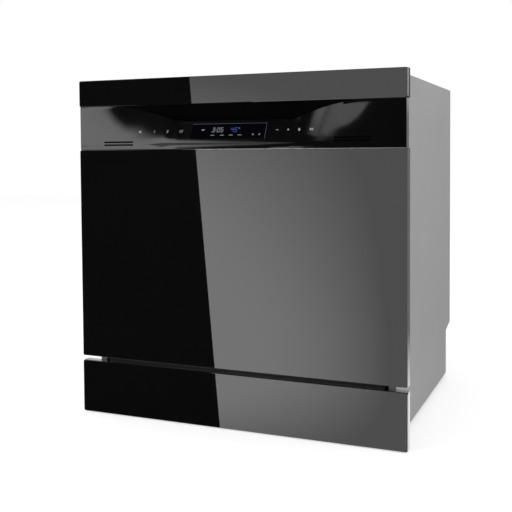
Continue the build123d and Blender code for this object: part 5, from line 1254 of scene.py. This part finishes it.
    def lean_polish(self) -> None:
        """Makes the gloss lean a little: outward at the two ends, less so beside the strip, and at its foot.

        The lean is in the material alone and was matched to the gloss in the photograph by measure.
        The form doesn't have it, and no real moulding is known to have it.
        """
        bench = NodeBench(self.bench.palette.material(FASCIA_GLOSS).node_tree)
        axes = bench.axes()
        crown, crown_start, crown_full = self.crown
        rest_low, rest_high, rest_end = self.crown_rest
        left, right = self.foot_span
        rim_foot, rim_top, foot_top = self.rim_span
        out = bench.math("ABSOLUTE", axes["X"])
        rest = bench.product(bench.ramp(out, (rest_end, 0.0), (rest_high, 1.0)),
                             bench.ramp(out, (rest_low, 0.0), (rest_high, 1.0)),
                             bench.ramp(axes["Z"], (0.50, 0.0), (self.strip, 1.0)))
        ends = bench.product(bench.ramp(out, (crown_start, 0.0), (crown_full, crown)),
                             bench.math("SUBTRACT", 1.0, rest), bench.math("SIGN", axes["X"]))
        foot = bench.product(bench.ramp(axes["Z"], (rim_foot, -self.foot_lean), (foot_top, 0.0)),
                             bench.ramp(axes["X"], (right[0], 1.0), (right[1], 0.0)),
                             bench.ramp(axes["X"], (left[0], 0.0), (left[1], 1.0)))
        lean = bench.add("ShaderNodeCombineXYZ", {
            "X": bench.math("ADD", ends, foot),
            "Z": bench.ramp(axes["Z"], (rim_foot, self.rim_lean), (rim_top, 0.0))})
        skin = bench.add("ShaderNodeTexCoord", {}).outputs["Normal"]
        tilted = bench.add("ShaderNodeVectorMath", {0: skin, 1: lean.outputs[0]}, operation="ADD")
        turned = bench.add("ShaderNodeVectorTransform", {0: tilted.outputs[0]}, vector_type="NORMAL",
                           convert_from="OBJECT", convert_to="WORLD")
        relief = next(node for node in bench.tree.nodes if node.type == "BUMP")
        bench.feed(relief, {"Normal": turned.outputs[0]})

    def lay(self, flat: bpy.types.Mesh, at: Pair, finish: Finish, proud: float,
            nodes: Sequence[str] = ()) -> None:
        """Lays a flat mesh on the moulding's face.

        Args:
            flat: The mesh, drawn in its own X and Y.
            at: Its middle as the photograph shows it on the front's plane, across and up.
            finish: Its finish.
            proud: Its distance from the face.
            nodes: The nodes that it replaces.
        """
        eye = self.camera.place
        middle = Vector((at[0], FRONT, at[1]))
        ray = middle - eye
        for _ in range(8):
            middle = eye + ray * ((FRONT + self.face_depth(middle.x, middle.z) - eye.y) / ray.y)
        lean = 1.0 / math.hypot(1.0, self.slope)
        for vertex in flat.vertices:
            x = middle.x + vertex.co.x
            z = middle.z + vertex.co.y * lean
            vertex.co = (x, FRONT + self.face_depth(x, z) - proud / lean - vertex.co.z, z)
        self.bench.place(flat, finish, "door", nodes)

    def strokes(self, title: str, lines: Sequence[Outline], at: Pair, finish: Finish, proud: float,
                width: float = 0.0006) -> None:
        """Prints a symbol of plain strokes on the slope.

        Args:
            title: The piece's name.
            lines: The strokes, each a row of points in millimetres about the symbol's middle.
            at: Its middle as the photograph shows it on the front's plane, across and up.
            finish: Its finish.
            proud: Its distance from the slope.
            width: Width of a stroke.
        """
        points: list[Point] = []
        for line in lines:
            path = [Vector((x * MM, y * MM, 0.0)) for x, y in line]
            for step, (start, end) in enumerate(zip(path, path[1:])):
                along = (end - start).normalized() * width / 2.0
                side = Vector((-along.y, along.x, 0.0))
                lift = Vector((0.0, 0.0, 0.000002 * step))
                points += [tuple(corner + lift) for corner in (
                    start - along - side, end + along - side, end + along + side, start - along + side)]
        mesh = bpy.data.meshes.new(title)
        mesh.from_pydata(points, [], [tuple(range(first, first + 4)) for first in range(0, len(points), 4)])
        self.lay(mesh, at, finish, proud)

    def figures(self, title: str, text: str, at: Pair, height: float, finish: Finish, proud: float) -> None:
        """Draws plain figures of straight strokes.

        Args:
            title: The piece's name.
            text: Figures, a colon or a degree mark.
            at: Their middle as the photograph shows it on the front's plane, across and up.
            height: Their height in millimetres.
            finish: Their finish.
            proud: Their distance from the face.
        """
        widths = [height * {":": 0.08, "°": 0.24}.get(mark, 0.52) for mark in text]
        gap = height * 0.32
        left = -(sum(widths) + gap * (len(text) - 1)) / 2.0
        lines = []
        for mark, width in zip(text, widths):
            lines += [[(left + width * across + height * 0.12 * (up - 0.5), height * (up - 0.5))
                       for across, up in stroke] for stroke in FIGURES[mark]]
            left += width + gap
        self.strokes(title, lines, at, finish, proud, max(0.0004, height * MM * 0.05))

    def dial(self, radius: float, turns: Sequence[int]) -> Outline:
        """Gives points of a circle, at angles from its top in degrees."""
        return [(radius * math.sin(turn), radius * math.cos(turn)) for turn in map(math.radians, turns)]

    def symbols(self) -> None:
        """Prints the touch symbols, which are generic, beside the display."""
        height = 0.503
        for name, x, lines in (
                ("power", -0.1726, (self.dial(1.9, range(40, 321, 20)), ((0.0, 0.6), (0.0, 2.6)))),
                ("minus", 0.0835, (((-1.9, 0.0), (1.9, 0.0)),)),
                ("plus", 0.1024, (((-1.7, 0.0), (1.7, 0.0)), ((0.0, -1.7), (0.0, 1.7)))),
                ("lock", 0.1213, (((-1.5, -2.0), (1.5, -2.0), (1.5, 0.2), (-1.5, 0.2), (-1.5, -2.0)),
                                  ((-0.9, 0.2), (-0.9, 1.5), (0.0, 2.3), (0.9, 1.5), (0.9, 0.2)))),
                ("start", 0.142, (((-2.2, -1.8), (0.2, 0.0), (-2.2, 1.8), (-2.2, -1.8)),
                                  ((1.2, -1.8), (1.2, 1.8)), ((2.4, -1.8), (2.4, 1.8))))):
            self.strokes("symbol_" + name, lines, (x, height), PRINT_WHITE, self.print_proud)
        for name, x in (("1", -0.144), ("2", -0.1186), ("12", -0.0927)):
            self.figures("symbol_" + name, name, (x, height), 4.2, PRINT_WHITE, self.print_proud)

    def display(self) -> None:
        """Sets the window, lights its figures and draws the thin line along its top and its right end."""
        proud, fine, thin = self.display_proud, 0.0005, 0.0004
        half, height, sunk = self.window
        middle = self.window_middle()
        pane = Shape()
        pane.rings([[(x, -height, -sunk), (x, height, -sunk), (x, height, 0.0), (x, -height, 0.0)]
                    for x in even(-half, half, 0.006)])
        self.lay(pane.mesh("display_pane", 20.0), middle, DISPLAY_GLASS, proud / 2.0, ("display_window",))
        self.figures("display_time", "3:05", (-0.0233, 0.5043), 7.6, GLOW_WHITE, proud)
        self.figures("display_degrees", "45°", (0.0088, 0.5043), 7.6, GLOW_BLUE, proud)
        label = (((-2.4, 0.6), (2.4, 0.6)), ((-2.4, -0.6), (1.2, -0.6)))
        dash = (((-3.2, 0.0), (3.2, 0.0)),)
        light = (self.dial(1.1, range(0, 361, 45)),)
        border = (((-68.0, 13.8), (68.2, 13.8), (68.2, -13.8)),)
        self.strokes("display_label", label, (-0.0502, 0.5045), GLOW_WHITE, proud, fine)
        for step, x in enumerate((-0.0335, -0.0157, 0.0003, 0.0165)):
            self.strokes(f"display_dash_{step}", dash, (x, 0.4955), GLOW_WHITE, proud, fine)
        for step, x in enumerate((0.0405, 0.0518)):
            self.strokes(f"display_light_{step}", light, (x, 0.4962), GLOW_WHITE, proud, thin)
        self.strokes("display_line", border, middle, PRINT_GREY, proud, thin)

    def window_middle(self) -> Pair:
        """Gives the window's middle as the photograph shows it.

        Returns:
            Its place on the front's plane, across and up.
        """
        across, up = self.window_at
        rise = Vector((0.0, self.slope, 1.0)).normalized() * up
        eye = self.camera.place
        ray = Vector((across, FRONT, self.slope_foot)) + rise - eye
        seen = eye + ray * ((FRONT - eye.y) / ray.y)
        return seen.x, seen.z

    def build(self) -> None:
        """Makes the moulding, its symbols and its display."""
        self.shell()
        self.lean_polish()
        self.symbols()
        self.display()


@dataclass
class DishRack(Assembly):
    """A coated wire rack: floor wires bent up into its ends, cross wires bent up into its sides, and rims.

    Attributes:
        body: The body that it rides on, which also starts its pieces' names.
        front: Y of its front.
        back: Y of its back.
        low: Its lowest height.
        high: Its highest height.
        half: Half its width.
        rim: Radius of the rim wires.
        wire: Radius of the other wires.
        bend: Radius of the bends.
        pitch: Distance between the wires.
        middle_rim: Height of the middle rim, as a share of the rack's.
    """

    body: str
    front: float
    back: float
    low: float
    high: float
    half: float = 0.22
    rim: float = 0.002
    wire: float = 0.0015
    bend: float = 0.011
    pitch: float = 0.027
    middle_rim: float = 0.48

    def loop(self, z: float) -> list[Point]:
        """Gives a closed rim at one height."""
        side, y0, y1 = self.half - self.rim, self.front + self.rim, self.back - self.rim
        return [(-side, y0, z), (side, y0, z), (side, y1, z), (-side, y1, z), (-side, y0, z)]

    def build(self) -> None:
        """Bends the rims, the long wires and the cross wires."""
        middle = self.low + (self.high - self.low) * self.middle_rim
        self.bench.wires(self.body + "_rims", [self.loop(self.high - self.rim), self.loop(middle)], self.rim,
                         self.bend, self.body, (self.body + "_grid", self.body + "_sides"))
        inset = 2.0 * self.rim + self.wire * 0.6
        side, y0, y1 = self.half - inset, self.front + inset, self.back - inset
        top, floor, upper = self.high - 1.5 * self.rim, self.low + self.wire, self.low + 2.7 * self.wire
        lines = [[(x, y0, top), (x, y0, floor), (x, y1, floor), (x, y1, top)]
                 for x in even(-side + 0.012, side - 0.012, self.pitch)]
        lines += [[(-side, y, top), (-side, y, upper), (side, y, upper), (side, y, top)]
                  for y in even(y0 + 0.014, y1 - 0.014, self.pitch * 1.4)]
        self.bench.wires(self.body + "_wires", lines, self.wire, self.bend, self.body)


@dataclass
class LowerRack(Assembly):
    """The lower rack with its tines, hangers and axle stubs.

    Attributes:
        half: Half its width.
        combs: Places across of the rows of tines.
        comb_inset: Distance of the rows' ends from the rack's.
        tine: Radius of a tine.
        tine_height: Height of a tine above the floor wires.
        tine_pitch: Distance between tines.
        strip: Radius of the wire under a row.
        hanger_half: Half a hanger's width.
        hangers: Y of each hanger.
        axle_height: Height of the wheels' axles.
        axle: Radius of an axle.
    """

    half: float = 0.22
    combs: tuple[float, ...] = (-0.188, -0.118, -0.018, 0.052)
    comb_inset: float = 0.03
    tine: float = 0.00165
    tine_height: float = 0.052
    tine_pitch: float = 0.026
    strip: float = 0.0018
    hanger_half: float = 0.009
    hangers: Pair = (-0.06, 0.16)
    axle_height: float = 0.175
    axle: float = 0.003

    def build(self) -> None:
        """Makes the wires, the tines and the hangers."""
        low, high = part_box("lower_rack_grid")
        DishRack(self.bench, "lower_rack", low.y, high.y, low.z, high.z, self.half).build()
        self.tines(low.y + self.comb_inset, high.y - self.comb_inset, low.z + 0.004)
        self.hanging(low.z + 0.014)

    def tines(self, front: float, back: float, floor: float) -> None:
        """Stands the tines in their rows, each row on its own strip.

        Args:
            front: Y of the first end.
            back: Y of the last end.
            floor: Height of the strips' foot.
        """
        shape = Shape()
        thick = self.tine
        tip = self.tine_height + thick * 0.9
        shape.revolve((0.0, 0.0, 0.0), UP, [(0.0, thick), (tip - thick, thick),
                                            (tip - thick * 0.35, thick * 0.8), (tip, thick * 0.3)], 8)
        row = even(front + 0.003, back - 0.003, self.tine_pitch)
        self.bench.repeats("lower_rack_tines", shape, [(x, y, floor) for x in self.combs for y in row],
                           RACK_COATING, "lower_rack")
        lines = [[(x, front, floor + 0.0017), (x, back, floor + 0.0017)] for x in self.combs]
        self.bench.wires("lower_rack_strips", lines, self.strip, 0.002, "lower_rack")

    def hanging(self, top: float) -> None:
        """Makes the hanger plates and the axle stubs of the four wheels.

        Args:
            top: Height at which the hangers start.
        """
        shape = Shape()
        half, foot, knee = self.hanger_half, self.axle_height - 0.0075, self.axle_height + 0.002
        outline = ((-half, top), (-half, knee), (-half * 0.5, foot), (half * 0.5, foot), (half, knee),
                   (half, top))
        stub = ((0.0, 0.006), (0.0042, 0.006), (0.0042, self.axle), (0.0141, self.axle), (0.0141, 0.005),
                (0.0156, 0.005))
        for side in SIDES:
            for y in self.hangers:
                shape.rings([[(x, y + across, up) for across, up in outline]
                             for x in sorted((side * (self.half - 0.004), side * self.half))])
                shape.revolve((side * (self.half - 0.0002), y, self.axle_height), (side, 0.0, 0.0), stub, 20)
        self.bench.form("lower_rack_hangers", shape, PLASTIC_GREY, "lower_rack")


@dataclass
class UpperRack(Assembly):
    """The upper rack with its rails, the feed pipe of its spray arm and the folding cup shelf.

    Attributes:
        half: Half its width.
        floor: Height of its floor.
        rail: Width of a rail.
        rail_low: Lower side of the rails.
        rail_high: Upper side of the rails.
        wall: Thickness of a rail's wall.
        pipe_height: Height of the feed pipe.
        shelf_axis: The shelf's axis, across and up.
        shelf_wire: Radius of the shelf's wires.
        eye: Radius of the eyes that hold the shelf.
        eyes: Y of the two eyes.
    """

    half: float = 0.22
    floor: float = 0.386
    rail: float = 0.012
    rail_low: float = 0.395
    rail_high: float = 0.405
    wall: float = 0.0013
    pipe_height: float = 0.372
    shelf_axis: Pair = (-0.211, 0.440)
    shelf_wire: float = 0.0016
    eye: float = 0.0042
    eyes: Pair = (-0.12, 0.13)

    def build(self) -> None:
        """Makes the wires, rails, eyes, pipe and shelf."""
        low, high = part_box("upper_rack_sides")
        DishRack(self.bench, "upper_rack", low.y, high.y, self.floor, high.z, self.half, rim=0.0016,
                 wire=0.0013).build()
        self.rails(low.y, high.y)
        self.shelf_eyes()
        self.pipe()
        self.shelf()

    def rails(self, front: float, back: float) -> None:
        """Makes the two rolled rails.

        Args:
            front: Y of their front ends.
            back: Y of their back ends.
        """
        shape = Shape()
        wall = self.wall
        outline = rounded_rectangle(self.half - 0.004, self.half + self.rail, self.rail_low, self.rail_high,
                                    0.002, 3)
        bore = rounded_rectangle(self.half + wall, self.half + self.rail - wall, self.rail_low + wall,
                                 self.rail_high - wall, 0.001, 3)
        for side in SIDES:
            shape.rings([[(side * x, y, z) for x, z in ring] for ring, y in (
                (outline, front), (outline, back), (bore, back), (bore, front))], closed=True)
        self.bench.form("upper_rack_rails", shape, ZINC, "upper_rack")

    def shelf_eyes(self) -> None:
        """Makes the two eyes that hold the shelf, each on its arm."""
        shape = Shape()
        x, z = self.shelf_axis
        arm = ((-0.004, -0.003), (0.004, -0.003), (0.004, 0.003), (-0.004, 0.003))
        for y in self.eyes:
            shape.rings([[(x + across, y + side * 0.005, z + up) for across, up in circle(self.eye, 16)]
                         for side in SIDES])
            shape.rings([[(end, y + across, z + up) for across, up in arm]
                         for end in (-self.half + 0.0005, x - 0.001)])
        self.bench.form("cup_shelf_eyes", shape, PLASTIC_GREY, "upper_rack")

    def pipe(self) -> None:
        """Makes the feed pipe under the floor wires, its docking mouth, the hub plate and the arm's nut."""
        foot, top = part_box("upper_rack_grid")
        low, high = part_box("upper_spray_arm")
        y = (low.y + high.y) / 2.0
        run = top.y - low.y
        hub = ((0.0, 0.014), (0.0057, 0.014), (0.0077, 0.016), (0.0247, 0.0165), (0.0257, 0.0235),
               (0.0292, 0.024), (0.0297, 0.023))
        pipe = ((0.0, 0.0075), (0.002, 0.008), (run - 0.030, 0.008), (run - 0.028, 0.0068),
                (run - 0.0205, 0.0066))
        nut = ((0.0, 0.0125), (0.0006, 0.014), (0.004, 0.014), (0.0047, 0.0132))
        shape = Shape()
        shape.revolve((0.0, y, high.z + 0.0003), UP, hub, 28)
        shape.revolve((0.0, low.y + 0.02, self.pipe_height), (0.0, 1.0, 0.0), pipe, 24)
        shape.revolve((0.0, y, foot.z), UP, nut, 28)
        self.bench.form("upper_feed", shape, PLASTIC_GREY, "upper_rack")

    def shelf(self) -> None:
        """Bends the wires of the folding shelf."""
        low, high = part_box("cup_shelf")
        x, z = self.shelf_axis
        y0, y1, edge, root = low.y + 0.018, high.y - 0.018, high.x - 0.002, x + 0.007
        lines = [[(root, y0, z), (edge, y0, z), (edge, y1, z), (root, y1, z), (root, y0, z)]]
        lines += [[(root, y, z), (edge, y, z)] for y in even(y0, y1, 0.022)[1:-1]]
        lines += [[(x, low.y + 0.0002, z), (x, high.y - 0.0002, z)]]
        lines += [[(x, y, z), (root + 0.001, y, z)] for y in (y0 + 0.02, y1 - 0.02)]
        self.bench.wires("cup_shelf_wires", lines, self.shelf_wire, 0.008, "cup_shelf", ("cup_shelf",))


@dataclass
class SprayArms(Assembly):
    """The raised rims of the jets on both spray arms.

    Attributes:
        start: Distance of the first jet from the hub.
        jets: Jets on each wing.
        step: How far the jets stand beside the middle.
        tip: Distance from the last jet to the arm's end.
    """

    start: float = 0.036
    jets: int = 5
    step: float = 0.004
    tip: float = 0.013

    def build(self) -> None:
        """Rims the jets of both arms."""
        rim = Shape()
        rim.revolve((0.0, 0.0, -0.0003), UP, [(0.0, 0.0034), (0.0006, 0.0032), (0.0011, 0.0026),
                                              (0.0011, 0.0016), (0.0, 0.0015)], 16)
        for arm in ("lower_spray_arm", "upper_spray_arm"):
            low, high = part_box(arm)
            y = (low.y + high.y) / 2.0
            pitch = (high.x - self.tip - self.start) / (self.jets - 1)
            places = [(side * (self.start + jet * pitch), y + (-1) ** jet * self.step, high.z)
                      for side in SIDES for jet in range(self.jets)]
            self.bench.repeats(arm + "_jets", rim, places, PLASTIC_DARK, arm)


@dataclass
class Springs(Assembly):
    """The two coil springs that balance the door.

    Attributes:
        radius: Outer radius of a coil.
        wire: Radius of its wire.
        pitch: Length of one turn.
    """

    radius: float = 0.0045
    wire: float = 0.0009
    pitch: float = 0.0026

    def build(self) -> None:
        """Winds both coils along the line of the springs that they stand for."""
        low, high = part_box("balance_springs")
        along, down = 1.0, 0.0
        whole = Vector((high.y - low.y, high.z - low.z))
        for _ in range(20):
            run = whole - 2.0 * self.radius * Vector((down, along))
            along, down = run.normalized()
        y0 = low.y + self.radius * down
        z0 = high.z - self.radius * along
        x = high.x - self.radius
        inset = Vector((0.0, along, -down)) * self.wire
        for name, side, nodes in (("left", -1.0, ("balance_springs",)), ("right", 1.0, ())):
            start = Vector((side * x, y0, z0)) + inset
            end = Vector((side * x, y0 + run.x, z0 - run.y)) - inset
            self.bench.coil("balance_spring_" + name, start, end, self.radius - 0.0001, self.wire, self.pitch,
                            "cabinet", nodes)


def main() -> None:
    """Builds the studio and every piece, in order."""
    logging.basicConfig(level=logging.INFO, format="%(name)s: %(message)s")
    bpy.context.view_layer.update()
    bench = Bench(Palette())
    bench.palette.dress_nodes()
    camera = PhotoCamera()
    camera.build()
    Studio(camera).build()
    for assembly in (FrontGlass(bench), ControlFascia(bench, camera), LowerRack(bench), UpperRack(bench),
                     SprayArms(bench), Springs(bench)):
        assembly.build()


if __name__ == "__main__":
    main()
